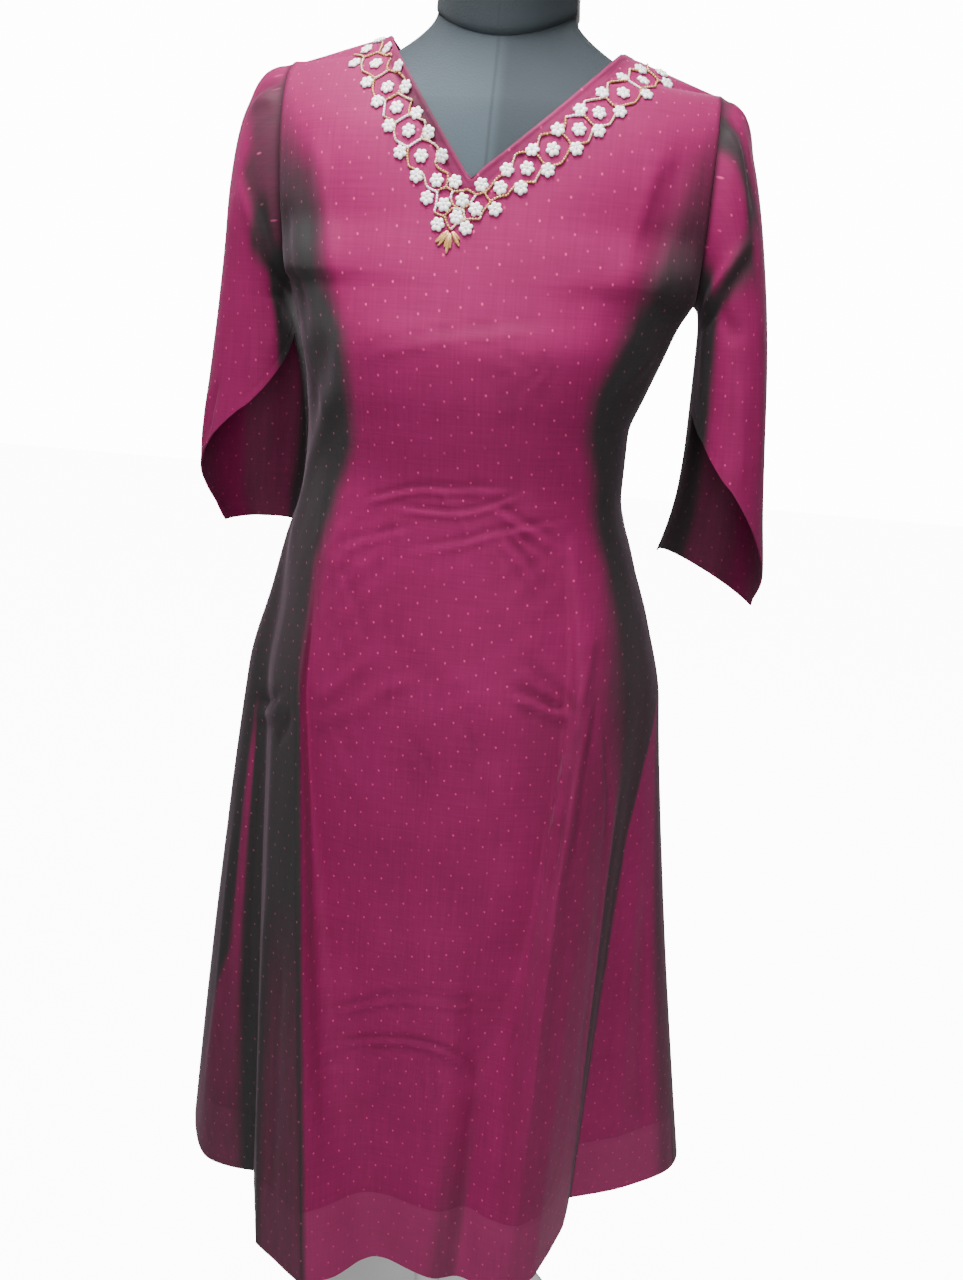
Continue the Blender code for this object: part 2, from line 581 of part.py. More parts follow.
def make_neck(seam, material, collection):
    """The neck stub, standing a seam gap above the torso's top ring."""
    low = seam + [0, 0, SEAM_GAP]
    turn = np.arctan2(seam[:, 1], seam[:, 0])
    rings = [low]
    for radius, height in ((NECK_RADIUS, NECK_TOP - 0.009), (NECK_RADIUS - 0.004, NECK_TOP - 0.002),
                           (NECK_RADIUS - 0.016, NECK_TOP)):
        rings.append(np.column_stack([radius * np.cos(turn), radius * np.sin(turn), height + 0 * turn]))
    count = len(turn)
    verts = np.concatenate(rings)
    hub = len(verts)
    verts = np.vstack([verts, [0, 0, seam[:, 2].mean() + SEAM_GAP], [0, 0, NECK_TOP + 0.001]])
    faces = []
    for k in range(len(rings) - 1):
        for s in range(count):
            a, b = k * count + s, k * count + (s + 1) % count
            faces.append((a, b, b + count, a + count))
    top = (len(rings) - 1) * count
    for s in range(count):
        t = (s + 1) % count
        faces.append((t, s, hub))
        faces.append((top + s, top + t, hub + 1))
    return add_mesh("neck_stub", verts, faces, material, collection)


def main():
    for thing in list(bpy.data.objects):
        bpy.data.objects.remove(thing, do_unlink=True)
    kurta = bpy.data.collections.new("kurta")
    stand = bpy.data.collections.new("dress_form")
    for group in (kurta, stand):
        bpy.context.scene.collection.children.link(group)

    silk = make_material("silk", (0.42, 0.03, 0.16), 0.5)
    cloth = make_material("form_cloth", (0.07, 0.10, 0.13), 0.8)
    cap = make_material("neck_cap", (0.02, 0.03, 0.04), 0.7)
    metal = make_material("stand_metal", (0.62, 0.62, 0.62), 0.4, 0.0)

    raise_flowers(make_panel("kurta_front", False, FRONT_TURNS, silk, kurta))
    make_panel("kurta_back", True, BACK_TURNS, silk, kurta)
    make_sleeve("sleeve_right_view", SLEEVE_RIGHT, CUT_RIGHT, 1.0, silk, kurta)
    make_sleeve("sleeve_left_view", SLEEVE_LEFT, CUT_LEFT, -1.0, silk, kurta)

    _, seam = make_form(cloth, stand)
    make_neck(seam, cap, stand)
    add_turned("pole", [(POLE_RADIUS, 0.0603), (POLE_RADIUS, 0.8347)], 24, metal, stand)
    add_turned("base", [(BASE_RADIUS - 0.002, 0.0), (BASE_RADIUS, 0.002), (BASE_RADIUS, BASE_HEIGHT - 0.005),
                        (BASE_RADIUS - 0.006, BASE_HEIGHT), (0.034, 0.030), (0.024, 0.038), (0.022, 0.060)],
               48, metal, stand)
    for piece in bpy.data.objects:
        print(piece.name, len(piece.data.polygons), "faces")


main()
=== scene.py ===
# %% [markdown]
# A long A-line tunic of shot silk hangs on a limbless dress form. The model of its solids is loaded
# first and stays as it is. Every piece made below lies on those solids, in metres, +Z up, with the
# front of the garment toward -Y.

import bpy
import numpy as np
from mathutils import Matrix


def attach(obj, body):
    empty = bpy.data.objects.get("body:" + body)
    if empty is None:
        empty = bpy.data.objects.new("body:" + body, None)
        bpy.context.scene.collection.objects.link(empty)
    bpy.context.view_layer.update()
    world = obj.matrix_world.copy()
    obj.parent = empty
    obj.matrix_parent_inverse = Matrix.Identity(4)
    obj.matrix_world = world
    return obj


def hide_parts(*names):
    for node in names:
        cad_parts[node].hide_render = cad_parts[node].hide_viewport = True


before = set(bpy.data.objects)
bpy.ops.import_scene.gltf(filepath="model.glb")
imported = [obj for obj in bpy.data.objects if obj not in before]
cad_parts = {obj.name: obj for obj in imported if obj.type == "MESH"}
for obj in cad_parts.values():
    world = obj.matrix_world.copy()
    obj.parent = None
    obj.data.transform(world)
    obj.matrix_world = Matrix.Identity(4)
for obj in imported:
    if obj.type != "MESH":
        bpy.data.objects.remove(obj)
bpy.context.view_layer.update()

# %% [markdown]
# A garment is planned from its sizes: shoulder height, width between the armholes, neckline and hem.
# Every surface below is worked out from these few numbers and from short tables of sections.

# %% Driving sizes
SHOULDER_TOP = 1.450
CLOTH = 0.0013
SEAM_GAP = 0.0003
HEM = 0.350
FOLD_KNEE = 0.16
SHOULDER_LEAN = 0.034
SHOULDER_RAISE = 0.007
UNDERARM = SHOULDER_TOP - 0.177
ARM_PLANE = 0.169
SHOULDER_TIP = SHOULDER_TOP - 0.023
NECK_HALF = 0.091
V_DEPTH = 0.110
V_BOW_LEFT = 0.97
V_BOW_RIGHT = 0.78
V_SHIFT = -0.010
BACK_NECK_DEPTH = 0.022
HEM_DEPTH = 0.076
ARM_HALF_DEPTH = 0.052
CHEST_ROUND = 2.5
ROLL_DROP = 0.115
ROLL_POWER = 2.7
LOOSE_ROUND = 1.15

CLOTH_SECTIONS = [
    # height, left,  right, front, back,  roundness
    (1.273, 0.1690, 0.1690, 0.114, 0.088, 2.50),
    (1.255, 0.1640, 0.1590, 0.1182, 0.089, 2.50),
    (1.225, 0.1570, 0.1480, 0.1255, 0.090, 2.45),
    (1.195, 0.1530, 0.1370, 0.1235, 0.087, 2.40),
    (1.165, 0.1520, 0.1280, 0.118, 0.083, 2.35),
    (1.115, 0.1560, 0.1280, 0.110, 0.080, 2.30),
    (1.050, 0.1700, 0.1460, 0.111, 0.087, 2.30),
    (1.000, 0.1760, 0.1620, 0.114, 0.098, 2.30),
    (0.920, 0.1880, 0.1760, 0.119, 0.112, 2.30),
    (0.350, 0.1900, 0.1770, 0.120, 0.114, 2.30),
]

CHEST = [
    # height, front, back
    (1.273, 0.114, 0.088),
    (1.330, 0.1015, 0.092),
    (1.380, 0.0905, 0.090),
    (1.420, 0.0810, 0.086),
    (1.480, 0.076, 0.080),
]

# Soft is 1 for a fold line that rolls and 0 for one that is pressed
FOLDS = [
    # name,             angle, hem x,  hem y,  starts, bow,  soft
    ("centre dip",       -8.0, -0.026, -0.148, 0.80, 1.00, 1.0),
    ("right rise",        6.0,  0.022, -0.161, 0.75, 1.00, 1.0),
    ("right dip",        15.0,  0.050, -0.154, 0.62, 1.00, 1.0),
    ("right roll",       26.0,  0.080, -0.163, 0.75, 1.00, 1.0),
    ("right corner",     38.0,  0.102, -0.158, 1.10, 0.70, 0.0),
    ("right cheek",      47.0,  0.124, -0.141, 1.10, 0.90, 0.5),
    ("right turn",       57.0,  0.150, -0.080, 1.08, 1.05, 0.5),
    ("right valley",     68.0,  0.156, -0.042, 1.06, 1.10, 0.0),
    ("right flare",      78.0,  0.212, -0.018, 1.06, 1.08, 1.0),
    ("right edge",       88.0,  0.266,  0.018, 1.06, 1.08, 1.0),
    ("right side",      100.0,  0.277,  0.058, 1.06, 1.08, 1.0),
    ("back right fold", 117.0,  0.260,  0.116, 1.04, 1.10, 1.0),
    ("back right dip",  133.0,  0.196,  0.132, 1.00, 1.00, 0.7),
    ("back right roll", 150.0,  0.140,  0.180, 1.06, 1.00, 1.0),
    ("back inner dip",  165.0,  0.066,  0.156, 0.98, 1.00, 0.7),
    ("back centre",     180.0, -0.002,  0.184, 1.06, 1.00, 1.0),
    ("back left inner", 195.0, -0.072,  0.155, 0.98, 1.00, 0.7),
    ("back left roll",  210.0, -0.148,  0.172, 1.06, 1.00, 1.0),
    ("back left dip",   227.0, -0.206,  0.124, 1.00, 1.00, 0.7),
    ("back left fold",  243.0, -0.266,  0.100, 1.04, 0.95, 1.0),
    ("left side",       259.0, -0.292,  0.044, 1.08, 0.74, 1.0),
    ("left edge",       270.0, -0.285, -0.008, 1.10, 0.70, 1.0),
    ("left flare",      279.0, -0.250, -0.064, 1.10, 0.74, 1.0),
    ("left valley",     290.0, -0.190, -0.073, 1.08, 1.00, 0.0),
    ("left face",       299.0, -0.158, -0.156, 1.10, 1.00, 0.0),
    ("left corner",     312.5, -0.101, -0.190, 1.14, 1.00, 0.0),
    ("left roll",       323.0, -0.072, -0.178, 0.85, 1.00, 1.0),
    ("left dip",        337.0, -0.048, -0.154, 0.75, 1.00, 1.0),
]

# %% [markdown]
# A few small helpers draw every curve here. One joins two values by a cubic, and one runs smoothly
# through the rows of a table without overshooting, so a waist stays a waist. The others ease a value
# from 0 to 1, bring vectors to unit length, draw a bell and measure cloth.


# %% Curve helpers
def hermite(low, high, slope_low, slope_high, run, t):
    """Cubic from low to high over a run, with the slope given at both ends."""
    level = low * (1 + 2 * t) * (1 - t) ** 2 + high * t ** 2 * (3 - 2 * t)
    return level + run * (slope_low * t * (1 - t) ** 2 + slope_high * t ** 2 * (t - 1))


def smooth(x, xs, ys):
    """Cubic curve through (xs, ys) whose slopes are the harmonic means of the chords beside each
    point, and zero where the chords change sign."""
    xs, ys = np.asarray(xs, float), np.asarray(ys, float)
    if xs[0] > xs[-1]:
        xs, ys = xs[::-1], ys[::-1]
    run = np.diff(xs)
    rate = np.diff(ys) / run
    same = rate[:-1] * rate[1:] > 0
    middle = np.where(same, 2 * rate[:-1] * rate[1:] / np.where(same, rate[:-1] + rate[1:], 1), 0)
    slope = np.concatenate([[rate[0]], middle, [rate[-1]]])
    x = np.clip(x, xs[0], xs[-1])
    i = np.clip(np.searchsorted(xs, x, side="right") - 1, 0, len(run) - 1)
    return hermite(ys[i], ys[i + 1], slope[i], slope[i + 1], run[i], (x - xs[i]) / run[i])


def ease(t):
    """3t^2 - 2t^3 between 0 and 1, flat outside."""
    t = np.clip(t, 0, 1)
    return t * t * (3 - 2 * t)


def unit(v):
    """Vectors divided by their own lengths."""
    return v / np.maximum(np.linalg.norm(v, axis=-1, keepdims=True), 1e-12)


def bell(offset, width):
    """1 at no offset, falling away on both sides over a width."""
    return np.exp(-(offset / width) ** 2)


def lengths(points, axis=0):
    """Length of cloth from the first point, along one axis of a line or a grid."""
    steps = np.linalg.norm(np.diff(points, axis=axis), axis=-1)
    return np.concatenate([np.zeros_like(np.take(steps, [0], axis)), np.cumsum(steps, axis)], axis)


# %% [markdown]
# Below the underarm the cloth is a ring round the body that is drawn out, line by line, to the folds
# of the hem. Above it the front and back panels run to the neckline and roll over the shoulders.


# %% The skirt and waist
def fold_hem(angle):
    """Cubic curve round the FOLDS table, whose slopes are scaled by each row's softness."""
    first = FOLDS[0][1]
    rows = FOLDS[-2:] + FOLDS + FOLDS[:3]
    turns = np.array([r[1] for r in rows])
    turns[:2] -= 360
    turns[-3:] += 360
    at = (np.asarray(angle, float) - first) % 360 + first
    i = np.clip(np.searchsorted(turns, at, side="right") - 1, 1, len(rows) - 3)
    values = np.array([r[2:6] for r in rows])
    soft = np.array([r[6] for r in rows])
    run = turns[i + 1] - turns[i]
    t = (at - turns[i]) / run
    slope = (values[2:] - values[:-2]) / (turns[2:] - turns[:-2])[:, None]
    slope = np.vstack([slope[:1], slope, slope[-1:]]) * soft[:, None]
    return hermite(values[i], values[i + 1], slope[i], slope[i + 1], run[..., None], t[..., None])


def body_ring(angle, height):
    """A superellipse whose left, right, front and back halves have their own sizes."""
    columns = np.array(CLOTH_SECTIONS).T
    left, right, front, back, power = (smooth(height, columns[0], c) for c in columns[1:])
    a = np.radians(angle)
    sine, cosine = np.sin(a), np.cos(a)
    x = np.where(sine < 0, -left, right) * np.abs(sine) ** (2 / power)
    y = np.where(cosine > 0, -front, back) * np.abs(cosine) ** (2 / power)
    return x, y


def skirt(angle, height):
    """The body ring plus a share of the way to the hem's fold. The share is a hyperbola of the depth
    below the fold's start, so each fold opens softly and then runs straight."""
    x, y = body_ring(angle, height)
    hem = fold_hem(angle)
    way = np.clip((hem[..., 2] - height) / (hem[..., 2] - HEM), 0, 1)
    way = (np.hypot(way, FOLD_KNEE) - FOLD_KNEE) / (np.hypot(1, FOLD_KNEE) - FOLD_KNEE)
    way = way ** hem[..., 3]
    return np.stack([x + way * (hem[..., 0] - x), y + way * (hem[..., 1] - y), height + 0 * x], -1)


# %% The shoulders and neckline
def shoulder_line(x, lower=0.0):
    """A straight fall from the neck corner to the shoulder tip, leaning to one side."""
    fall = (SHOULDER_TOP - SHOULDER_TIP) / (ARM_PLANE - NECK_HALF)
    out = np.abs(x) - NECK_HALF
    lean = SHOULDER_RAISE - SHOULDER_LEAN * x
    return SHOULDER_TOP + lean - lower - np.where(out > 0, fall * out, 0.55 * out)


def arm_depth(height, half, top, bottom):
    """Half depth of the armhole: a flattened oval between its bottom and its top."""
    middle = (top + bottom) / 2
    reach = np.clip(np.abs(height - middle) / (top - middle), 0, 1)
    return half * (1 - reach ** 2.4) ** (1 / 2.0)


def chest_depth(x, height, centre, power, arm, ridge, half):
    """Depth at x: a superellipse across from the middle to the armhole, rolled over to the shoulder."""
    roll_start = SHOULDER_TOP - ROLL_DROP
    up = np.clip((height - roll_start) / np.maximum(ridge - roll_start, 1e-6), 0, 1)
    roll = np.sqrt(1 - up ** ROLL_POWER)
    side = np.clip(np.abs(x) / half, 0, 1)
    loosen = ease((height - UNDERARM) / 0.05)
    root = power * (1 - loosen) + LOOSE_ROUND * loosen
    return arm + (centre * roll - arm) * (1 - side ** power) ** (1 / root)


def yoke(side_x, way, back):
    """A point above the underarm. The top of each column is the neckline or the shoulder, and the
    rows close up toward it like the sine of the way."""
    x = side_x * ARM_PLANE + V_SHIFT * way * np.clip(1 - np.abs(side_x) * ARM_PLANE / NECK_HALF, 0, 1)
    ridge = shoulder_line(x)
    top_point = SHOULDER_TOP + SHOULDER_RAISE - SHOULDER_LEAN * x
    out = np.abs(x - V_SHIFT * np.clip(1 - np.abs(x) / NECK_HALF, 0, 1)) / NECK_HALF
    if back:
        neck = top_point - BACK_NECK_DEPTH * np.sqrt(np.clip(1 - out ** 2.2, 0, 1))
    else:
        bow = np.where(x < V_SHIFT * (1 + V_SHIFT / NECK_HALF), V_BOW_LEFT, V_BOW_RIGHT)
        neck = top_point - V_DEPTH * np.clip(1 - out, 0, 1) ** bow
    top = np.where(np.abs(x) < NECK_HALF, np.minimum(neck, ridge), ridge)
    height = UNDERARM + (top - UNDERARM) * np.sin(way * np.pi / 2) ** 1.02
    table = np.array(CHEST).T
    centre = smooth(height, table[0], table[2 if back else 1])
    tip = shoulder_line(np.where(x < 0, -ARM_PLANE, ARM_PLANE))
    arm = arm_depth(height, ARM_HALF_DEPTH, tip, UNDERARM)
    deep = chest_depth(x, height, centre, CHEST_ROUND, arm, ridge, ARM_PLANE)
    return np.stack([x, deep if back else -deep, height], -1)


# %% [markdown]
# A panel is one grid of points. Its columns are spaced by the real length of cloth at the hem and at
# the waist, so no cell is stretched, and about every fourth millimetre of cloth has a point.

# %% Panel grids
SKIRT_ROWS = 172
YOKE_ROWS = 58
PANEL_COLUMNS = 206
CLOSER_ROWS = [
    # height, reach, how much closer
    (1.105, 0.030, 1.5), (1.075, 0.040, 0.5), (0.605, 0.045, 1.0), (0.945, 0.02, 0.6),
    (HEM + HEM_DEPTH, 0.006, 1.2), (1.235, 0.020, 0.5),
]


def turned(sides, back):
    """Angle round the body of a side value: 0 at the middle of the front, 180 at the back."""
    return 180 - 90 * sides if back else 90 * sides


def even_columns(back):
    """Side values from -1 to 1 at equal steps of cloth length, half by the hem, half by the waist."""
    fine = np.linspace(-1, 1, 3001)
    run = np.zeros(3001)
    for height, weight in ((HEM, 0.55), (1.15, 0.45)):
        line = skirt(turned(fine, back), np.full(3001, height))
        length = lengths(line)
        run += weight * length / length[-1]
    return np.interp(np.linspace(0, 1, PANEL_COLUMNS), run, fine)


def even_rows():
    """Heights from the hem to the underarm, packed closer where the small sharp creases are."""
    fine = np.linspace(HEM, UNDERARM, 2001)
    packing = np.ones(2001)
    for height, reach, more in CLOSER_ROWS:
        packing += more * bell(fine - height, reach)
    run = np.concatenate([[0], np.cumsum((packing[:-1] + packing[1:]) / 2)])
    return np.interp(np.arange(SKIRT_ROWS) / SKIRT_ROWS, run / run[-1], fine)


def panel_points(back, sides):
    """Rows of points from the hem to the underarm, and on to the neckline and shoulder."""
    angle = turned(sides, back)
    heights = even_rows()
    lower = skirt(np.tile(angle, (SKIRT_ROWS, 1)), np.repeat(heights[:, None], len(angle), 1))
    across = np.sign(sides) * np.abs(np.sin(np.radians(90 * sides))) ** (2 / CHEST_ROUND)
    upper = [yoke(across, way, back) for way in np.linspace(0, 1, YOKE_ROWS)]
    return np.concatenate([lower, np.array(upper)])


def grid_normals(points, outward, closed=False):
    """Cross product of the two central differences at each point, turned to the named side."""
    if closed:
        wrapped = np.concatenate([points[:, -1:], points, points[:, :1]], 1)
        across = np.gradient(wrapped, axis=1)[:, 1:-1]
    else:
        across = np.gradient(points, axis=1)
    n = unit(np.cross(across, np.gradient(points, axis=0)))
    return n * np.sign(np.sum(n * outward, -1).mean())


# %% [markdown]
# Creases are pressed into a panel one by one. Each has a path on the cloth, a height and a width. A ridge is
# raised along its path and falls away on both sides, and a fold is raised on one side and sunk on the other,
# as where the cloth has been packed flat. All fade out toward their ends.


# %% Pressing creases
FOLD_SHARE = 2.2
PLEAT_POWER = 1.3
CREASE_FADE = 0.28


def press(points, normal, first, second, table, scale):
    """Sum over the creases of height times a bell of the distance to the path, or for a fold the
    bell times the signed distance, faded to both ends. Paths are read in the grid's own two
    parameters."""
    flat_points = points.reshape(-1, 3)
    keys = np.stack([first.ravel() / scale[0], second.ravel() / scale[1]], -1)
    flat_normal = normal.reshape(-1, 3)
    added = np.zeros(len(flat_points))
    for name, kind, rise, width, path in table:
        rise, width = rise / 1000, width / 1000
        knots = np.linspace(0, 1, len(path))
        t = np.linspace(0, 1, 22)
        way = np.stack([smooth(t, knots, [p[k] for p in path]) / scale[k] for k in (0, 1)], -1)
        nearest = ((keys[None, :, :] - way[:, None, :]) ** 2).sum(-1).argmin(1)
        line = flat_points[nearest]
        for _ in range(3):
            line[1:-1] = (line[:-2] + 2 * line[1:-1] + line[2:]) / 4
        low, high = line.min(0) - 3 * width, line.max(0) + 3 * width
        near = np.where(((flat_points > low) & (flat_points < high)).all(1))[0]
        p = flat_points[near]
        start, step = line[:-1], np.diff(line, axis=0)
        length2 = np.maximum((step ** 2).sum(1), 1e-12)
        u = np.clip(((p[:, None] - start) * step).sum(-1) / length2, 0, 1)
        offset = p[:, None] - (start + u[..., None] * step)
        far = (offset ** 2).sum(-1)
        k = far.argmin(1)
        rows = np.arange(len(p))
        q = np.sqrt(far[rows, k]) / width
        along = (k + u[rows, k]) / len(step)
        fade = ease(along / CREASE_FADE) * ease((1 - along) / CREASE_FADE)
        shape = np.exp(-q ** 2)
        if kind == "fold":
            side = np.cross(unit(step)[k], flat_normal[near])
            shape = shape * np.clip((offset[rows, k] * side).sum(-1) / width, -2, 2) * FOLD_SHARE
        elif kind == "pleat":
            shape = np.clip(1 - q, 0, 1) ** PLEAT_POWER
        added[near] += rise * shape * fade
    return added.reshape(points.shape[:2])


def ripple(points, size, seed):
    """A soft unevenness: a few long waves in x, y and z with fixed phases, mostly running down."""
    rng = np.random.default_rng(seed)
    total = np.zeros(points.shape[:2])
    for _ in range(9):
        wave = rng.normal(size=3) * np.array([70, 70, 16])
        total += np.sin(points @ wave + rng.uniform(0, 6.3)) / 9
    return size * total


def crumple(points, size, seed, zones):
    """Small sharp-topped waves, 20 to 50 mm long: one minus the root of a bent sine, three ways
    over each other, kept to the zones where the cloth has been pressed together."""
    rng = np.random.default_rng(seed)
    total = np.zeros(points.shape[:2])
    for _ in range(7):
        way = unit(rng.normal(size=3) * np.array([1.0, 1.0, 1.2]))
        bend = rng.normal(size=3) * 26
        plain = points @ way * 2 * np.pi / rng.uniform(0.034, 0.085)
        phase = plain + 1.6 * np.sin(points @ bend + rng.uniform(0, 6.3))
        comes = np.clip(np.sin(points @ (bend[::-1] * 0.8) + phase[0, 0]), 0, 1)
        total += (1 - np.sqrt(np.abs(np.sin(phase)))) * comes
    where = np.zeros(points.shape[:2])
    for x, z, across, up, strength in zones:
        where = np.maximum(where, strength * np.exp(-((points[..., 0] - x) / across) ** 2
                                                    - ((points[..., 2] - z) / up) ** 2))
    return size * total * where


# %% [markdown]
# The cloth walls are thin closed shells: an outer grid, the same grid moved in by the thickness, and strips
# round the rims. Two numbers ride on each point. Shot says how much of the charcoal weft shows. Inside is an
# amount of painted shade: on the wrong side of the cloth, more weakly in the depths of its creases, and along
# the armhole seams and in the band of the neck facing.


# %% Shells
WALL_SHARP = 62
# Painted shade: how strongly the hollows of the creases are darkened.
CREASE_SHADE_SCALE = 1900


def add_piece(name, points, faces, material, sharp=None):
    """An object of smooth faces, whose edges over the sharp angle in degrees stay sharp."""
    mesh = bpy.data.meshes.new(name)
    mesh.from_pydata(points, [], faces)
    mesh.shade_smooth()
    if sharp is not None:
        mesh.set_sharp_from_angle(angle=np.radians(sharp))
    mesh.materials.append(material)
    piece = bpy.data.objects.new(name, mesh)
    bpy.context.scene.collection.objects.link(piece)
    print(name, len(faces), "faces")
    return piece


def painted_crease_shade(relief):
    """How far each point lies below the mean of its neighbours, as a softened share of painted shade in the
    crease hollows.
    """
    def mean(field):
        """Each value with its four neighbours."""
        wide = np.pad(field, 1, mode="edge")
        return (wide[:-2, 1:-1] + wide[2:, 1:-1] + wide[1:-1, :-2] + wide[1:-1, 2:] + 2 * field) / 6

    return mean(mean(np.clip((mean(mean(relief)) - relief) * CREASE_SHADE_SCALE, 0, 1.0)))


def shell(name, outer, inward, cloth_uv, shot, dark, closed, material, wrong_side_shade=1.0):
    """Outer faces, reversed inner faces and rim strips of a grid, with a map in metres of cloth."""
    rows, cols = outer.shape[:2]
    skin = rows * cols
    points = np.concatenate([outer.reshape(-1, 3), (outer - inward * CLOTH).reshape(-1, 3)])
    index = np.arange(skin).reshape(rows, cols)
    maps = np.arange(rows * cloth_uv.shape[1]).reshape(rows, -1)
    if closed:
        index = np.column_stack([index, index[:, :1]])
    corner = [(slice(None, -1), slice(None, -1)), (slice(None, -1), slice(1, None)),
              (slice(1, None), slice(1, None)), (slice(1, None), slice(None, -1))]
    quads = np.stack([index[c] for c in corner], -1).reshape(-1, 4)
    spots = np.stack([maps[c] for c in corner], -1).reshape(-1, 4)
    faces = [quads, quads[:, ::-1] + skin]
    places = [spots, spots[:, ::-1]]
    rims = [(index[0], maps[0], False), (index[-1], maps[-1], True)]
    if not closed:
        rims += [(index[:, 0], maps[:, 0], True), (index[:, -1], maps[:, -1], False)]
    for line, spot, turn in rims:
        a, b, s, t = line[:-1], line[1:], spot[:-1], spot[1:]
        strip, place = np.stack([b, a, a + skin, b + skin], -1), np.stack([t, s, s, t], -1)
        faces.append(strip[:, ::-1] if turn else strip)
        places.append(place[:, ::-1] if turn else place)
    faces, places = np.concatenate(faces), np.concatenate(places)
    first = points[quads[:, 1]] - points[quads[:, 0]]
    second = points[quads[:, 3]] - points[quads[:, 0]]
    if (np.cross(first, second) * inward.reshape(-1, 3)[quads[:, 0]]).sum() < 0:
        faces, places = faces[:, ::-1], places[:, ::-1]
    piece = add_piece(name, points, faces, material, WALL_SHARP)
    mesh = piece.data
    layer = mesh.uv_layers.new(name="cloth")
    layer.data.foreach_set("uv", cloth_uv.reshape(-1, 2)[places.ravel()].astype(np.float32).ravel())
    # The inside attribute is painted shade: the dark amounts on the outer face, and the wrong side's amount
    # on the inner face.
    inside = np.concatenate([dark.ravel(), np.full(skin, wrong_side_shade)])
    for label, values in (("shot", np.tile(shot.ravel(), 2)), ("inside", inside)):
        data = mesh.attributes.new(label, "FLOAT", "POINT")
        data.data.foreach_set("value", values.astype(np.float32))
    return piece


# %% [markdown]
# Shot silk has a magenta warp and a charcoal weft, so one cloth shows two colours. On a hanging garment the
# charcoal shows where the cloth turns to the side, softly on the body and sharply at a pressed fold. The
# zones below paint the charcoal onto those places as the cloth looks from the front, so it is painted sheen
# of the shot weave and, on the rounded sides, partly painted shade; the lit zones paint the magenta back onto
# folds that turn to the front. The finish mixes the colours.

# %% Where the charcoal shows
SHOT_FRONT = {
    # zone: rows of height, from, soft from, to, soft to, strength (angles in degrees)
    "left side": [
        (1.420, -90, 1.0, -80, 10.0, 0.00), (1.385, -90, 1.0, -72, 18.0, 0.40),
        (1.350, -90, 1.0, -60, 22.0, 0.85), (1.310, -90, 1.0, -51, 17.0, 1.00),
        (1.270, -90, 1.0, -48, 14.0, 1.00), (1.235, -90, 1.0, -39, 10.0, 1.00),
        (1.150, -90, 1.0, -38, 9.0, 1.00), (1.110, -90, 1.0, -44, 9.0, 1.00),
        (1.040, -90, 1.0, -50, 12.0, 0.98), (0.960, -90, 1.0, -50, 11.0, 0.98),
        (0.920, -90, 1.0, -46, 3.0, 1.00), (0.880, -90, 1.0, -45.2, 1.4, 1.00),
        (0.340, -90, 1.0, -45.2, 1.4, 1.00),
    ],
    "right side": [
        (1.410, 84, 12.0, 90, 1.0, 0.00), (1.375, 72, 22.0, 90, 1.0, 0.38),
        (1.330, 64, 24.0, 90, 1.0, 0.70), (1.290, 54, 19.0, 90, 1.0, 0.95),
        (1.265, 50, 15.0, 90, 1.0, 1.00), (1.235, 48, 11.0, 90, 1.0, 1.00),
        (1.200, 45, 11.0, 90, 1.0, 1.00), (1.165, 51, 13.0, 90, 1.0, 1.00),
        (1.130, 58, 15.0, 90, 1.0, 1.00), (1.060, 60, 12.0, 90, 1.0, 1.00),
        (1.000, 60, 16.0, 90, 1.0, 0.98), (0.955, 60, 20.0, 88, 1.5, 0.95),
        (0.920, 61, 14.0, 82, 1.5, 0.92), (0.870, 62, 8.0, 75, 1.2, 0.92),
        (0.800, 62, 5.0, 70.5, 1.2, 0.90), (0.600, 62, 4.0, 68.5, 1.2, 0.90),
        (0.340, 62, 4.0, 68.0, 1.2, 0.85),
    ],
    "right cheek": [
        (1.010, 38, 8.0, 62, 2.0, 0.00), (0.950, 37, 5.0, 62, 2.0, 0.16), (0.900, 35.5, 1.5, 62, 2.0, 0.20),
        (0.600, 35.5, 1.5, 62, 2.0, 0.18), (0.340, 35.5, 2.0, 62, 2.0, 0.14),
    ],
    "right edge": [(0.960, 86, 3.0, 90, 1.0, 0.9), (0.880, 86, 4.0, 90, 1.0, 0.85),
                   (0.340, 87, 4.0, 90, 1.0, 0.55)],
    "mid hip": [
        (0.990, 20, 12.0, 32, 8.0, 0.00), (0.930, 24, 10.0, 34, 1.5, 0.12), (0.800, 28, 8.0, 35, 1.0, 0.06),
        (0.340, 30, 8.0, 35, 1.0, 0.06),
    ],
    "low shade": [(0.520, 9, 4.0, 15, 1.5, 0.00), (0.440, 9, 5.0, 14, 1.5, 0.35),
                  (0.345, 8, 5.0, 13, 1.5, 0.42)],
}
LIT_FRONT = {
    "left sliver": [
        (0.900, -77.6, 0.6, -77.2, 0.6, 0.00), (0.840, -77.8, 0.7, -77.0, 0.7, 0.75),
        (0.620, -78.3, 1.0, -76.8, 0.8, 0.70), (0.500, -82, 4.0, -76.5, 2.0, 0.40),
        (0.340, -88, 3.0, -76, 3.0, 0.34),
    ],
    "left inner roll": [
        (0.740, -55, 4.0, -49, 2.0, 0.00), (0.560, -56, 4.0, -49, 2.5, 0.26),
        (0.340, -57, 4.0, -47, 2.0, 0.34),
    ],
}
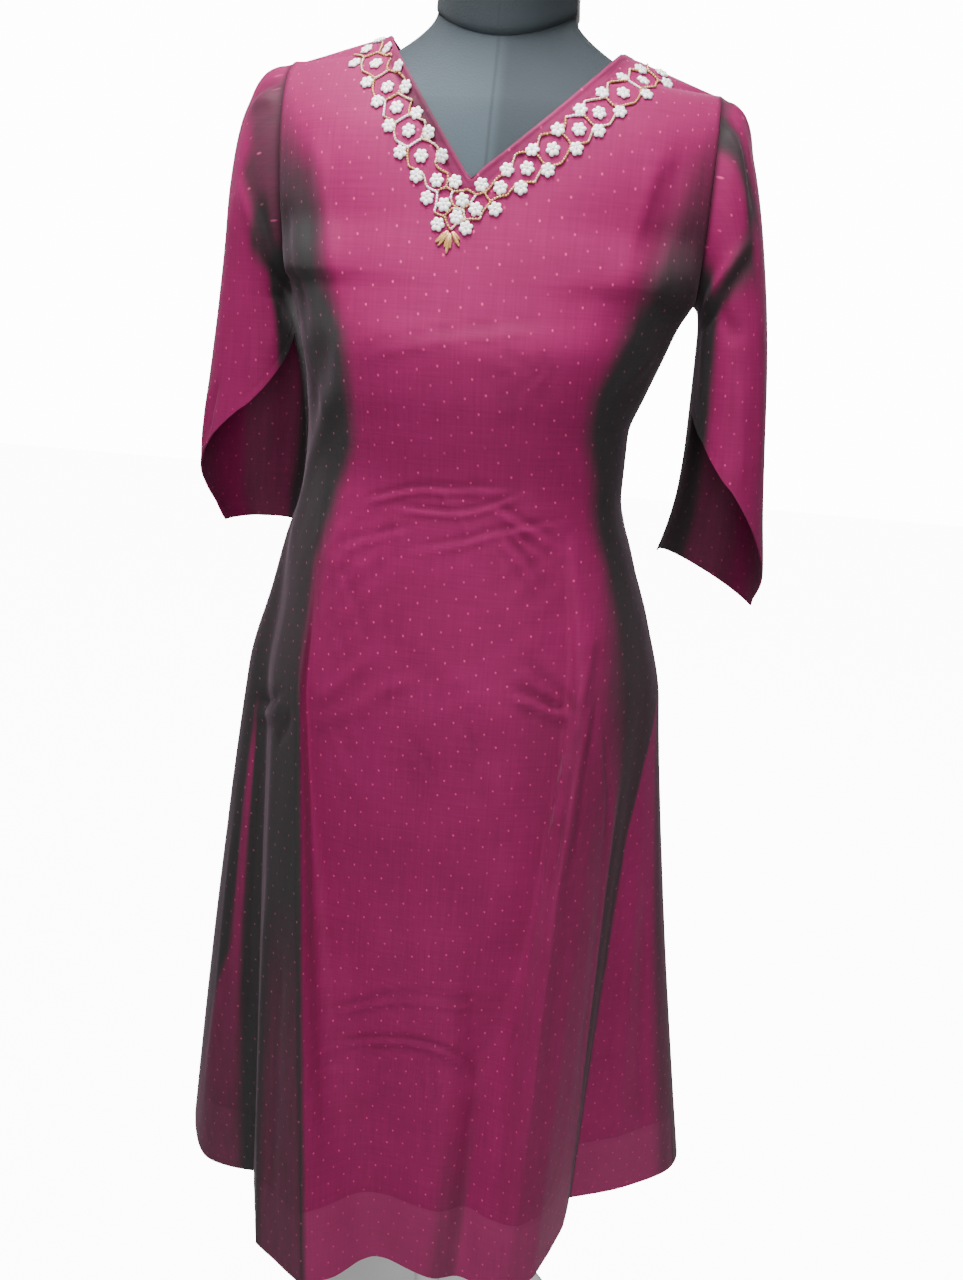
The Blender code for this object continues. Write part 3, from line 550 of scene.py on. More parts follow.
SHOT_BACK = {
    "right side": [
        (1.400, 74, 16.0, 90, 1.0, 0.00), (1.340, 64, 20.0, 90, 1.0, 0.60),
        (1.260, 54, 15.0, 90, 1.0, 1.00), (1.150, 48, 12.0, 90, 1.0, 1.00),
        (1.050, 56, 12.0, 90, 1.0, 1.00), (0.950, 60, 14.0, 90, 1.0, 0.95), (0.860, 76, 8.0, 90, 1.0, 0.85),
        (0.340, 78, 6.0, 90, 1.0, 0.80),
    ],
    "left side": [
        (1.400, -90, 1.0, -72, 16.0, 0.00), (1.340, -90, 1.0, -62, 20.0, 0.60),
        (1.260, -90, 1.0, -52, 15.0, 1.00), (1.150, -90, 1.0, -50, 12.0, 1.00),
        (1.050, -90, 1.0, -54, 12.0, 1.00), (0.950, -90, 1.0, -58, 14.0, 0.95),
        (0.860, -90, 1.0, -74, 8.0, 0.90), (0.340, -90, 1.0, -75, 6.0, 0.85),
    ],
    "right inner": [(0.960, 44, 6.0, 52, 6.0, 0.00), (0.860, 44, 3.0, 52, 5.0, 0.80),
                    (0.340, 42, 2.0, 51, 5.0, 0.88)],
    "left inner": [(0.960, -52, 6.0, -43, 5.0, 0.00), (0.850, -52, 5.0, -43, 2.5, 0.82),
                   (0.340, -53, 5.0, -42, 2.0, 0.88)],
    "right fold": [(0.900, 15, 4.0, 21, 4.0, 0.00), (0.760, 15, 4.0, 21, 4.0, 0.42),
                   (0.340, 14, 4.0, 20, 4.0, 0.50)],
    "left fold": [(0.860, -20, 4.0, -14, 4.0, 0.00), (0.700, -20, 4.0, -14, 4.0, 0.45),
                  (0.340, -21, 4.0, -14, 3.0, 0.50)],
}


def shot_zones(angle, height, zones, lit):
    """1 minus the product of what each zone leaves. A zone is an ease up at its one side times an
    ease down at its other, all read from its table by height. The lit zones then take some away."""
    shares = []
    for table in (zones, lit):
        left = np.ones_like(angle)
        for name, rows in table.items():
            columns = np.array(rows)[::-1].T
            level = np.clip(height, columns[0, 0], columns[0, -1])
            start, soft_start, stop, soft_stop, strength = (
                np.interp(level, columns[0], c) for c in columns[1:])
            across = ease((angle - start) / soft_start + 1) * ease((stop - angle) / soft_stop + 1)
            left *= 1 - strength * across * (height <= columns[0, -1] + 1e-6)
        shares.append(left)
    return (1 - shares[0]) * shares[1]


def shot_bands(first, second, table):
    """The same with plain bands on a sleeve: from and to across, from and to along."""
    left = np.ones_like(first)
    for name, start, stop, soft_start, soft_stop, low, top, fade, strength in table:
        across = ease((first - start) / soft_start + 1) * ease((stop - first) / soft_stop + 1)
        along = ease((second - low) / fade + 0.5) * ease((top - second) / fade + 0.5)
        left *= 1 - strength * across * along
    return 1 - left


# %% [markdown]
# The creases of the two panels, read from the way such cloth drags from the bust to the hips, hangs
# from the underarm and keeps the lines it was packed with. Each path is given as angles and heights.

# %% Creases of the front
FRONT_CREASES = [
    # name, kind, rise mm, width mm, path of (angle, height)
    ("bust packing line", "fold", 1.0, 3.2, [(-32, 1.219), (-19, 1.227), (-8, 1.234), (10, 1.246),
                                             (27, 1.250)]),
    ("bust arc high", "fold", 0.9, 3.6, [(2, 1.228), (8, 1.223), (14, 1.217), (22, 1.206)]),
    ("bust arc right", "fold", 1.0, 3.6, [(15, 1.229), (18.5, 1.219), (23, 1.208)]),
    ("bust arc low", "fold", 0.8, 3.6, [(1, 1.197), (10.5, 1.192), (23, 1.197)]),
    ("waist line high", "fold", 1.3, 3.0, [(-29, 1.103), (-24, 1.108), (-12, 1.119), (-2, 1.122),
                                           (8, 1.123), (23, 1.127)]),
    ("waist line low", "fold", 1.1, 3.0, [(-20, 1.104), (-11, 1.102), (-3, 1.102), (4, 1.107), (14, 1.118),
                                          (26, 1.127)]),
    ("waist kink", "pleat", 1.0, 4, [(-5, 1.122), (-3, 1.112), (-1.5, 1.100)]),
    ("waist kink tail", "pleat", 0.7, 3.5, [(-2, 1.116), (0, 1.099), (2, 1.082)]),
    ("waist left rise", "fold", 0.8, 4.1, [(-37, 1.060), (-22, 1.076), (-10, 1.089)]),
    ("under waist line", "fold", 0.9, 3.4, [(-15, 1.066), (-3, 1.076), (8, 1.088), (23, 1.096),
                                            (48, 1.104)]),
    ("waist drop left", "pleat", 0.9, 5, [(-17, 1.100), (-15, 1.080), (-13, 1.060)]),
    ("hip drag high", "fold", 1.5, 4.5, [(8, 1.112), (15.5, 1.103), (23, 1.094), (38, 1.074)]),
    ("hip drag second", "fold", 0.9, 3.4, [(15, 1.092), (22, 1.080), (30, 1.066)]),
    ("hip drag long", "fold", 1.5, 4.5, [(11, 1.090), (16, 1.076), (20.5, 1.063), (28, 1.031)]),
    ("hip drag third", "ridge", 0.9, 9, [(12, 1.040), (17, 1.010), (21, 0.985)]),
    ("hip drag low", "ridge", 1.0, 14, [(-16, 1.020), (2, 0.965), (17, 0.915)]),
    ("hip drag side", "ridge", 1.8, 11, [(34, 1.090), (42, 1.040), (44, 0.985)]),
    ("left crumple one", "fold", 0.8, 4.1, [(-34, 1.042), (-26, 1.012), (-22, 0.980)]),
    ("left crumple two", "fold", 0.7, 4.1, [(-40, 1.010), (-31, 0.985), (-27, 0.955)]),
    ("hip kink", "fold", 2.2, 4.5, [(12, 0.960), (20.5, 0.951), (29.5, 0.942), (35.5, 0.938)]),
    ("hip kink high", "fold", 2.0, 4.5, [(17, 0.985), (23, 0.968), (29.5, 0.953), (35, 0.940)]),
    ("hip kink up", "ridge", 2.2, 5, [(36, 0.940), (39, 0.964), (41, 0.987), (43, 1.018)]),
    ("hip turn edge", "fold", 3.4, 5.5, [(36.5, 0.941), (34, 0.914), (34.2, 0.887), (33, 0.856),
                                         (32, 0.806), (30.5, 0.744)]),
    ("cheek stripe", "fold", 1.6, 4.5, [(43, 0.965), (41.5, 0.920), (41, 0.850), (40, 0.780)]),
    ("cheek stripe two", "fold", 1.4, 4.5, [(46, 0.940), (49, 0.890), (52, 0.850), (53, 0.800)]),
    ("left drag one", "ridge", 1.2, 6, [(-39, 0.922), (-31.5, 0.937), (-22, 0.964), (-11.5, 0.991)]),
    ("left drag two", "ridge", 1.3, 6, [(-44, 0.897), (-31, 0.910), (-15.5, 0.945), (-3.5, 0.968)]),
    ("front nick one", "fold", 0.9, 4, [(2.5, 0.929), (5, 0.906), (8, 0.887)]),
    ("front nick two", "fold", 0.8, 4, [(-9.5, 0.910), (-4.5, 0.887), (-0.5, 0.864)]),
    ("hip nick left", "fold", 3.0, 7, [(-84, 0.878), (-70, 0.893), (-60, 0.906), (-51, 0.925)]),
    ("hip nick left low", "pleat", -2.8, 6, [(-49, 0.916), (-54, 0.888), (-58, 0.872)]),
    ("left waist drag", "ridge", 2.6, 11, [(-32, 1.240), (-39, 1.196), (-51, 1.161), (-64, 1.119),
                                           (-67, 1.060), (-66, 0.990)]),
    ("left waist hollow", "ridge", -2.4, 13, [(-42, 1.240), (-52, 1.200), (-62, 1.165)]),
    ("left waist inner", "ridge", -1.6, 12, [(-44, 1.130), (-48, 1.050), (-48, 0.975)]),
    ("knee packing line", "fold", 1.6, 3.4, [(-41, 0.615), (-25, 0.621), (-11, 0.643), (-1, 0.651),
                                             (8, 0.648), (23, 0.644)]),
    ("knee packing low", "fold", 1.8, 3.4, [(-44, 0.588), (-30, 0.582), (-15, 0.597), (-3, 0.605),
                                            (4, 0.601), (10, 0.588), (13, 0.570), (15, 0.548)]),
    ("knee left low", "fold", 0.9, 4.1, [(-44, 0.566), (-34, 0.560), (-20, 0.566)]),
    ("knee drop", "fold", 0.8, 3.4, [(0, 0.603), (1.5, 0.568), (4, 0.532)]),
    ("knee right", "fold", 1.0, 4.1, [(23, 0.590), (27, 0.632)]),
    ("lower valley", "ridge", -2.8, 8, [(15, 0.556), (13.5, 0.532), (13.5, 0.500), (13.5, 0.440),
                                        (11.5, 0.352)]),
    ("lower band", "ridge", 2.6, 11, [(20, 0.640), (20.5, 0.530), (21, 0.440), (21, 0.352)]),
    ("front long hollow", "ridge", -2.4, 16, [(-5, 0.930), (-4.5, 0.848), (-7, 0.790), (-7.5, 0.700),
                                              (-6, 0.640)]),
    ("front long ridge", "ridge", 1.8, 14, [(9, 0.905), (14, 0.860), (18.5, 0.798), (20, 0.690)]),
    ("front roll", "ridge", 1.2, 12, [(4, 0.866), (9, 0.829), (14.5, 0.759), (14, 0.680)]),
    ("left roll hollow", "ridge", -1.8, 12, [(-35, 0.840), (-35, 0.640), (-36, 0.440)]),
    ("left roll ridge", "ridge", 1.5, 12, [(-26, 0.760), (-27, 0.560), (-27, 0.380)]),
    ("left face ridge", "ridge", 2.6, 9, [(-58, 0.760), (-61, 0.600), (-62, 0.360)]),
    ("left face hollow", "ridge", -2.4, 9, [(-54, 0.700), (-55, 0.560), (-56, 0.360)]),
    ("left sliver edge", "fold", 2.6, 7, [(-76, 0.870), (-76, 0.680), (-75.5, 0.450)]),
    ("left pale line", "ridge", 2.0, 6, [(-80.5, 0.830), (-81, 0.600), (-83, 0.380)]),
    ("right cheek hollow", "ridge", -2.2, 12, [(41, 0.860), (42, 0.700), (44, 0.480)]),
    ("right cheek ridge", "ridge", 2.2, 12, [(51, 0.800), (52, 0.640), (53, 0.400)]),
    ("right turn crease", "fold", 2.0, 8, [(58, 0.900), (58, 0.700), (60, 0.480)]),
    ("right flare ridge", "ridge", 2.0, 10, [(76, 0.800), (76, 0.600), (77, 0.370)]),
    ("right flare hollow", "ridge", -2.0, 9, [(81, 0.760), (81, 0.560), (82, 0.370)]),
    ("left arm drag", "ridge", -3.0, 10, [(-60, 1.392), (-52, 1.330), (-43, 1.262), (-38, 1.215)]),
    ("left arm drag edge", "ridge", 2.4, 8, [(-49, 1.385), (-42, 1.325), (-34, 1.255)]),
    ("left arm drag two", "ridge", -2.2, 8, [(-74, 1.335), (-64, 1.285), (-52, 1.235)]),
    ("left bust tuck", "ridge", 2.0, 9, [(-66, 1.250), (-54, 1.200), (-44, 1.165)]),
    ("right arm drag", "ridge", -2.4, 10, [(57, 1.395), (50, 1.330), (44, 1.270)]),
    ("right arm drag edge", "ridge", 1.8, 9, [(46, 1.385), (40, 1.325), (35, 1.262)]),
    ("right arm drag two", "ridge", -1.6, 7, [(48, 1.375), (43, 1.330), (37, 1.280)]),
    ("right underarm", "ridge", -2.2, 10, [(74, 1.285), (60, 1.268), (46, 1.275)]),
    ("right bust tuck", "ridge", 1.8, 9, [(68, 1.245), (56, 1.215), (46, 1.200)]),
]

BACK_CREASES = [
    ("shoulder blade right", "ridge", 2.0, 12, [(52, 1.380), (44, 1.320), (36, 1.250)]),
    ("shoulder blade left", "ridge", 2.2, 12, [(-54, 1.385), (-45, 1.315), (-35, 1.240)]),
    ("right arm drag", "ridge", -2.4, 11, [(64, 1.340), (54, 1.280), (42, 1.225)]),
    ("left arm drag", "ridge", -2.6, 11, [(-66, 1.345), (-54, 1.280), (-40, 1.215)]),
    ("back packing high", "fold", 1.1, 7, [(-30, 1.236), (-4, 1.230), (26, 1.241)]),
    ("waist line high", "fold", 1.6, 8, [(-40, 1.122), (-12, 1.106), (22, 1.117), (40, 1.132)]),
    ("waist line low", "fold", 1.2, 7, [(-28, 1.078), (-2, 1.084), (24, 1.071)]),
    ("waist drag right", "ridge", 1.8, 12, [(48, 1.125), (38, 1.060), (30, 0.990)]),
    ("waist drag left", "ridge", 1.8, 12, [(-50, 1.120), (-38, 1.050), (-28, 0.985)]),
    ("seat drag right", "ridge", 1.4, 14, [(40, 1.010), (28, 0.960), (12, 0.930)]),
    ("seat drag left", "ridge", 1.4, 14, [(-42, 1.000), (-26, 0.955), (-10, 0.925)]),
    ("packing middle", "fold", 1.4, 8, [(-46, 0.790), (-14, 0.778), (22, 0.786), (44, 0.800)]),
    ("packing low", "fold", 1.5, 8, [(-40, 0.600), (-10, 0.612), (24, 0.604)]),
    ("right roll ridge", "ridge", 2.4, 12, [(34, 0.850), (33, 0.620), (32, 0.370)]),
    ("right roll hollow", "ridge", -2.2, 12, [(26, 0.800), (25, 0.600), (24, 0.370)]),
    ("left roll ridge", "ridge", 2.4, 12, [(-33, 0.860), (-32, 0.620), (-31, 0.370)]),
    ("left roll hollow", "ridge", -2.2, 12, [(-25, 0.790), (-24, 0.560), (-24, 0.370)]),
    ("middle ridge", "ridge", 1.8, 14, [(3, 0.900), (2, 0.660), (1, 0.380)]),
    ("right side crease", "fold", 2.2, 8, [(62, 0.880), (63, 0.660), (64, 0.420)]),
    ("left side crease", "fold", 2.2, 8, [(-64, 0.880), (-64, 0.640), (-65, 0.400)]),
]

# %% Where the cloth is crumpled
CRUMPLE_FRONT = [
    # x, height, reach across, reach up, strength
    (-0.085, 1.020, 0.050, 0.070, 1.00), (0.050, 1.060, 0.070, 0.050, 0.70),
    (-0.075, 0.890, 0.040, 0.050, 0.90),
    (0.035, 1.210, 0.035, 0.030, 0.70), (-0.060, 0.560, 0.060, 0.045, 0.80),
    (0.060, 0.600, 0.050, 0.040, 0.60),
    (-0.020, 0.410, 0.110, 0.050, 0.60), (0.130, 0.500, 0.060, 0.150, 0.35),
    (0.0, 0.750, 0.200, 0.500, 0.28),
    (-0.130, 1.250, 0.040, 0.070, 0.80), (0.130, 1.260, 0.040, 0.070, 0.70),
]
CRUMPLE_BACK = [
    (0.0, 1.080, 0.120, 0.060, 0.90), (-0.060, 0.780, 0.080, 0.060, 0.70),
    (0.060, 0.600, 0.080, 0.060, 0.70),
    (0.0, 0.420, 0.150, 0.060, 0.50), (0.130, 1.250, 0.040, 0.070, 0.80),
    (-0.130, 1.250, 0.040, 0.070, 0.80),
    (0.0, 0.800, 0.250, 0.500, 0.28),
]

# %% [markdown]
# Seams and hems are the last thing pressed in: a facing turned to the inside makes the neck edge a little
# fuller, with small puckers between the edge and its stitch line, and the deep hem shows as a fine line where
# it is sewn up. The armhole seams and the band of the facing get painted shade.

# %% Seams, facings and hems
NECK_FACING = 0.0105
NECK_ROLL = 0.0005
PUCKER_STEP = 0.0125
PUCKER = 0.00070
PUCKER_AT_V = 0.00110
V_POINT_ALONG = 0.145
RIPPLE = 0.0006
CRUMPLE = 0.0010
HEM_LINE, HEM_LINE_WIDTH = 0.00045, 0.0022
CUFF_LINE, CUFF_LINE_WIDTH, CUFF_LINE_UP = 0.00035, 0.0012, 0.009
NECK_CALM, SEAM_CALM, SHOULDER_CALM, SLEEVE_HEAD_CALM = 0.014, 0.010, 0.012, 0.014
# Painted shade along the armhole seams and in the band of the neck facing.
ARMHOLE_SHADE, SLEEVE_HEAD_SHADE = 1.8, 2.2
FACING_SHADE, FACING_SHADE_AT_V = 0.7, 1.4


def edge_distance(points, edge):
    """Shortest distance from each point to a polyline, and how far along the line that is."""
    flat = points.reshape(-1, 3)
    start, step = edge[:-1], np.diff(edge, axis=0)
    length = np.linalg.norm(step, axis=1)
    run = lengths(edge)
    best = np.full(len(flat), 9.0)
    along = np.zeros(len(flat))
    for k in range(len(step)):
        u = np.clip(((flat - start[k]) @ step[k]) / max(length[k] ** 2, 1e-12), 0, 1)
        far = np.linalg.norm(flat - start[k] - u[:, None] * step[k], axis=1)
        closer = far < best
        best = np.where(closer, far, best)
        along = np.where(closer, run[k] + u * length[k], along)
    return best.reshape(points.shape[:2]), along.reshape(points.shape[:2])


def neck_relief(distance, along, seed):
    """A rolled edge, a sunk stitch line at the facing's width, and slanting puckers between them
    whose height comes and goes along the edge."""
    roll = NECK_ROLL * bell(distance - 0.002, 0.0016)
    line = -NECK_ROLL * bell(distance - NECK_FACING, 0.0011)
    slant = np.sin((along + 0.9 * distance) * 2 * np.pi / PUCKER_STEP + 2.2 * np.sin(along * 61 + seed))
    comes = 0.45 + 0.55 * np.sin(along * 47 + 1.3 + seed)
    between = ease(distance / 0.002) * ease((NECK_FACING + 0.001 - distance) / 0.003)
    near_v = bell(along - V_POINT_ALONG, 0.026)
    return roll + line + (PUCKER * np.clip(comes, 0, 1) + PUCKER_AT_V * near_v) * slant * between


def cloth_map(points):
    """Metres of cloth: u is the length along each row from its middle, v the height measured along
    the middle column, and above the underarm each column's own length."""
    u = lengths(points, 1)
    middle = points.shape[1] // 2
    u = u - u[:, middle:middle + 1]
    along = np.linalg.norm(np.diff(points, axis=0), axis=2)
    v = lengths(points, 0)
    v[:SKIRT_ROWS + 1] = v[:SKIRT_ROWS + 1, middle:middle + 1]
    v[SKIRT_ROWS + 1:] = v[SKIRT_ROWS, middle] + np.cumsum(along[SKIRT_ROWS:], 0)
    chest_x, chest_u = points[SKIRT_ROWS, :, 0], u[SKIRT_ROWS]
    order = np.argsort(chest_x)
    for row in range(SKIRT_ROWS + 1, len(points)):
        u[row] = np.interp(points[row, :, 0], chest_x[order], chest_u[order])
    return np.stack([u, v], -1)


# %% [markdown]
# A finish for cloth is built as two node groups. One draws the small woven dots on the cloth's own
# map, in slanting staggered rows, and the other gives the weave and slub of the yarns.


# %% Node helpers
def add_node(tree, kind, values=None, **settings):
    """A shader node in the next place of the tree, with its settings and its input values by name."""
    node = tree.nodes.new(kind)
    down, across = divmod(len(tree.nodes), 10)
    node.location = (across * 190, -down * 260)
    for key, value in settings.items():
        setattr(node, key, value)
    for key, value in (values or {}).items():
        node.inputs[key].default_value = value
    return node


def feed(tree, socket, value):
    """Give an input a plain number, three numbers of a colour, or another node's output."""
    if isinstance(value, (int, float)):
        socket.default_value = value
    elif isinstance(value, tuple):
        socket.default_value = (*value, 1.0)
    else:
        tree.links.new(value, socket)


def maths(tree, operation, *values, clamp=False):
    """A Math node of sockets or plain numbers."""
    node = add_node(tree, "ShaderNodeMath", operation=operation, use_clamp=clamp)
    for k, value in enumerate(values):
        feed(tree, node.inputs[k], value)
    return node.outputs[0]


def blend(tree, mask, first, second, kind="MIX"):
    """A colour Mix node. Each colour is a socket or three numbers."""
    node = add_node(tree, "ShaderNodeMix", data_type="RGBA", blend_type=kind)
    for key, value in ((0, mask), (6, first), (7, second)):
        feed(tree, node.inputs[key], value)
    return node.outputs[2]


def ramp(tree, value, low, high, top=1.0):
    """A soft step of a value, from 0 at low to top at high."""
    node = add_node(tree, "ShaderNodeMapRange", {"From Min": low, "From Max": high, "To Max": top},
                    interpolation_type="SMOOTHSTEP")
    tree.links.new(value, node.inputs["Value"])
    return node.outputs[0]


def object_place(tree):
    """The place on the piece, in metres."""
    return add_node(tree, "ShaderNodeTexCoord").outputs["Object"]


def object_noise(tree, scale, detail):
    """Noise over the piece."""
    noise = add_node(tree, "ShaderNodeTexNoise", {"Scale": scale, "Detail": detail})
    tree.links.new(object_place(tree), noise.inputs["Vector"])
    return noise.outputs["Fac"]


def new_material(name):
    """A material, its node tree and its shader."""
    material = bpy.data.materials.new(name)
    material.use_nodes = True
    return material, material.node_tree, material.node_tree.nodes["Principled BSDF"]


def wire(tree, shader, colour, rough, plain=None, relief=None, strength=0.0, depth=0.0):
    """Give the shader its colour, its roughness, its plain values and a relief."""
    feed(tree, shader.inputs["Base Color"], colour)
    feed(tree, shader.inputs["Roughness"], rough)
    for key, value in (plain or {}).items():
        feed(tree, shader.inputs[key], value)
    if relief is not None:
        bump = add_node(tree, "ShaderNodeBump", {"Strength": strength, "Distance": depth})
        tree.links.new(relief, bump.inputs["Height"])
        tree.links.new(bump.outputs[0], shader.inputs["Normal"])


def new_group(name, inputs, outputs):
    """A node group with sockets given as (name, kind)."""
    group = bpy.data.node_groups.new(name, "ShaderNodeTree")
    for way, sockets in (("INPUT", inputs), ("OUTPUT", outputs)):
        for label, kind in sockets:
            group.interface.new_socket(label, in_out=way, socket_type="NodeSocket" + kind)
    return group, group.nodes.new("NodeGroupInput"), group.nodes.new("NodeGroupOutput")


# %% Woven dots
DOT_PITCH = 0.0163
DOT_ROW = 0.0132
DOT_RADIUS = 0.00115
DOT_CORE = 0.45
DOT_FLAT = 0.80
DOT_SLANT = 0.21
DOT_FAINTEST = 0.30


def dots_group():
    """Turn the map by the slant, cut it into rows, move every second row by half a pitch, and put an
    oval in the middle of each cell. A hash of the cell's number makes some dots fainter."""
    group, given, out = new_group("woven dots", [("Cloth", "Vector")], [("Mask", "Float")])
    turn = add_node(group, "ShaderNodeVectorRotate", {"Angle": -DOT_SLANT}, rotation_type="Z_AXIS")
    group.links.new(given.outputs[0], turn.inputs["Vector"])
    split = add_node(group, "ShaderNodeSeparateXYZ")
    group.links.new(turn.outputs[0], split.inputs[0])

    def from_middle(steps, size):
        """Distance from the middle of the cell in metres."""
        return maths(group, "MULTIPLY", maths(group, "SUBTRACT", maths(group, "FRACT", steps), 0.5), size)

    row = maths(group, "DIVIDE", split.outputs[1], DOT_ROW)
    number = maths(group, "FLOOR", row)
    odd = maths(group, "FLOORED_MODULO", number, 2.0)
    shifted = maths(group, "MULTIPLY_ADD", odd, 0.5, maths(group, "DIVIDE", split.outputs[0], DOT_PITCH))
    column = maths(group, "FLOOR", shifted)
    x, y = from_middle(shifted, DOT_PITCH), from_middle(row, DOT_ROW * DOT_FLAT)
    squares = maths(group, "ADD", maths(group, "MULTIPLY", x, x), maths(group, "MULTIPLY", y, y))
    inside = ramp(group, maths(group, "SQRT", squares), DOT_RADIUS, DOT_RADIUS * DOT_CORE)
    cell = add_node(group, "ShaderNodeCombineXYZ")
    group.links.new(column, cell.inputs[0])
    group.links.new(number, cell.inputs[1])
    chance = add_node(group, "ShaderNodeTexWhiteNoise", noise_dimensions="2D")
    group.links.new(cell.outputs[0], chance.inputs["Vector"])
    bright = maths(group, "MULTIPLY_ADD", chance.outputs["Value"], 1 - DOT_FAINTEST, DOT_FAINTEST)
    group.links.new(maths(group, "MULTIPLY", inside, bright), out.inputs[0])
    return group


# %% Weave and slub
def weave_group():
    """Noise drawn out along the warp and along the weft, for slubs and for a brushed edge between
    the two colours, and a finer pair for the threads themselves."""
    labels = ("Slub", "Thread", "Brush", "Cloud")
    group, given, out = new_group("silk yarns", [("Cloth", "Vector")],
                                  [(label, "Float") for label in labels])

    def noise(across, along, detail):
        """Noise on the map, scaled by its own amount each way."""
        size = add_node(group, "ShaderNodeMapping", {"Scale": (across, along, 1)})
        group.links.new(given.outputs[0], size.inputs["Vector"])
        node = add_node(group, "ShaderNodeTexNoise", {"Scale": 1.0, "Detail": detail, "Roughness": 0.55})
        group.links.new(size.outputs[0], node.inputs["Vector"])
        return node.outputs["Fac"]

    weft_half = maths(group, "MULTIPLY", noise(18, 640, 3.0), 0.5)
    slub = maths(group, "MULTIPLY_ADD", noise(560, 16, 3.0), 0.5, weft_half)
    thread = maths(group, "MULTIPLY", noise(2600, 300, 0.0), noise(300, 2600, 0.0))
    for k, value in enumerate((slub, thread, noise(170, 20, 3.0), noise(9, 13, 3.0))):
        group.links.new(value, out.inputs[k])
    return group


DOTS = dots_group()
YARNS = weave_group()

# %% [markdown]
# The silk itself mixes magenta and charcoal by the shot number, brushed along the weft, with the dots in a
# lighter pink. Sheen gives the powdery edge light of silk. The wrong side and the depths of the creases are
# darkened by painted shade, and the deep hem has a tone of its own.

# %% Shot silk
MAGENTA = (0.280, 0.0120, 0.098)
MAGENTA_DEEP = (0.190, 0.0085, 0.063)
CHARCOAL = (0.0225, 0.0280, 0.0265)
CHARCOAL_WARM = (0.0300, 0.0245, 0.0250)
DOT_PINK = (0.720, 0.045, 0.215)
DOT_ON_CHARCOAL = (0.230, 0.070, 0.110)
HEM_PINK = (0.62, 0.22, 0.36)
SHADOW = (0.020, 0.006, 0.010)
BRUSH_SHARE = 0.45
DOT_SHARE = 0.85
SLUB_SHARE = 0.34
HEM_SHARE = 0.06
SHADOW_SHARE = 0.34


def silk_finish(name):
    """Colour by the shot number, roughness by slub, relief by thread and slub."""
    material, tree, shader = new_material(name)
    place = add_node(tree, "ShaderNodeUVMap", uv_map="cloth").outputs[0]
    dots = add_node(tree, "ShaderNodeGroup", node_tree=DOTS)
    yarns = add_node(tree, "ShaderNodeGroup", node_tree=YARNS)
    split = add_node(tree, "ShaderNodeSeparateXYZ")
    for node in (dots, yarns, split):
        tree.links.new(place, node.inputs[0])
    shot = add_node(tree, "ShaderNodeAttribute", attribute_name="shot").outputs["Fac"]
    inside = add_node(tree, "ShaderNodeAttribute", attribute_name="inside").outputs["Fac"]
    brush = maths(tree, "MULTIPLY", maths(tree, "SUBTRACT", yarns.outputs["Brush"], 0.5), BRUSH_SHARE)
    middle = maths(tree, "MULTIPLY", maths(tree, "MULTIPLY", shot, maths(tree, "SUBTRACT", 1.0, shot)), 4.0)
    mixed = maths(tree, "ADD", shot, maths(tree, "MULTIPLY", brush, middle), clamp=True)
    warm = blend(tree, yarns.outputs["Cloud"], MAGENTA_DEEP, MAGENTA)
    grey = blend(tree, yarns.outputs["Brush"], CHARCOAL, CHARCOAL_WARM)
    dot_colour = blend(tree, mixed, DOT_PINK, DOT_ON_CHARCOAL)
    plain = blend(tree, mixed, warm, grey)
    dotted = blend(tree, maths(tree, "MULTIPLY", dots.outputs[0], DOT_SHARE), plain, dot_colour)
    slub = yarns.outputs["Slub"]
    slub_grey = add_node(tree, "ShaderNodeCombineColor")
    for k in range(3):
        tree.links.new(slub, slub_grey.inputs[k])
    slubbed = blend(tree, SLUB_SHARE, dotted, slub_grey.outputs[0], "OVERLAY")
    hem = maths(tree, "MULTIPLY", maths(tree, "GREATER_THAN", split.outputs[1], 0.0),
                maths(tree, "LESS_THAN", split.outputs[1], HEM_DEPTH))
    lit = maths(tree, "MULTIPLY", maths(tree, "SUBTRACT", 1.0, mixed), HEM_SHARE)
    faced = blend(tree, maths(tree, "MULTIPLY", hem, lit), slubbed, HEM_PINK)
    # Painted shade: the inside attribute darkens the colour toward SHADOW.
    colour = blend(tree, maths(tree, "MULTIPLY", inside, SHADOW_SHARE, clamp=True), faced, SHADOW)
    wire(tree, shader, colour, maths(tree, "MULTIPLY_ADD", slub, 0.18, 0.54),
         {"Sheen Weight": 0.09, "Sheen Roughness": 0.50, "Sheen Tint": (0.90, 0.58, 0.76),
          "Specular IOR Level": 0.12},
         maths(tree, "MULTIPLY_ADD", yarns.outputs["Thread"], 0.5, slub), 0.22, 0.0006)
    return material


SILK = silk_finish("shot silk")

# %% [markdown]
# The front and back panels are now made: the plain grid, its normals, the creases and ripple pressed
# along them, and the seam edges kept where the neighbouring piece meets them.


# %% Front and back panels
def armhole_rim(points, way):
    """Directions at the armhole's edge: sideways at its foot, and out from its middle above."""
    rise = ease((points[:, 2:] - UNDERARM) / 0.06)
    middle = (SHOULDER_TIP + UNDERARM) / 2
    radial = unit(np.stack([0 * points[:, 0], points[:, 1], points[:, 2] - middle], -1))
    return unit(radial * rise + np.array([way, 0, 0]) * (1 - rise))


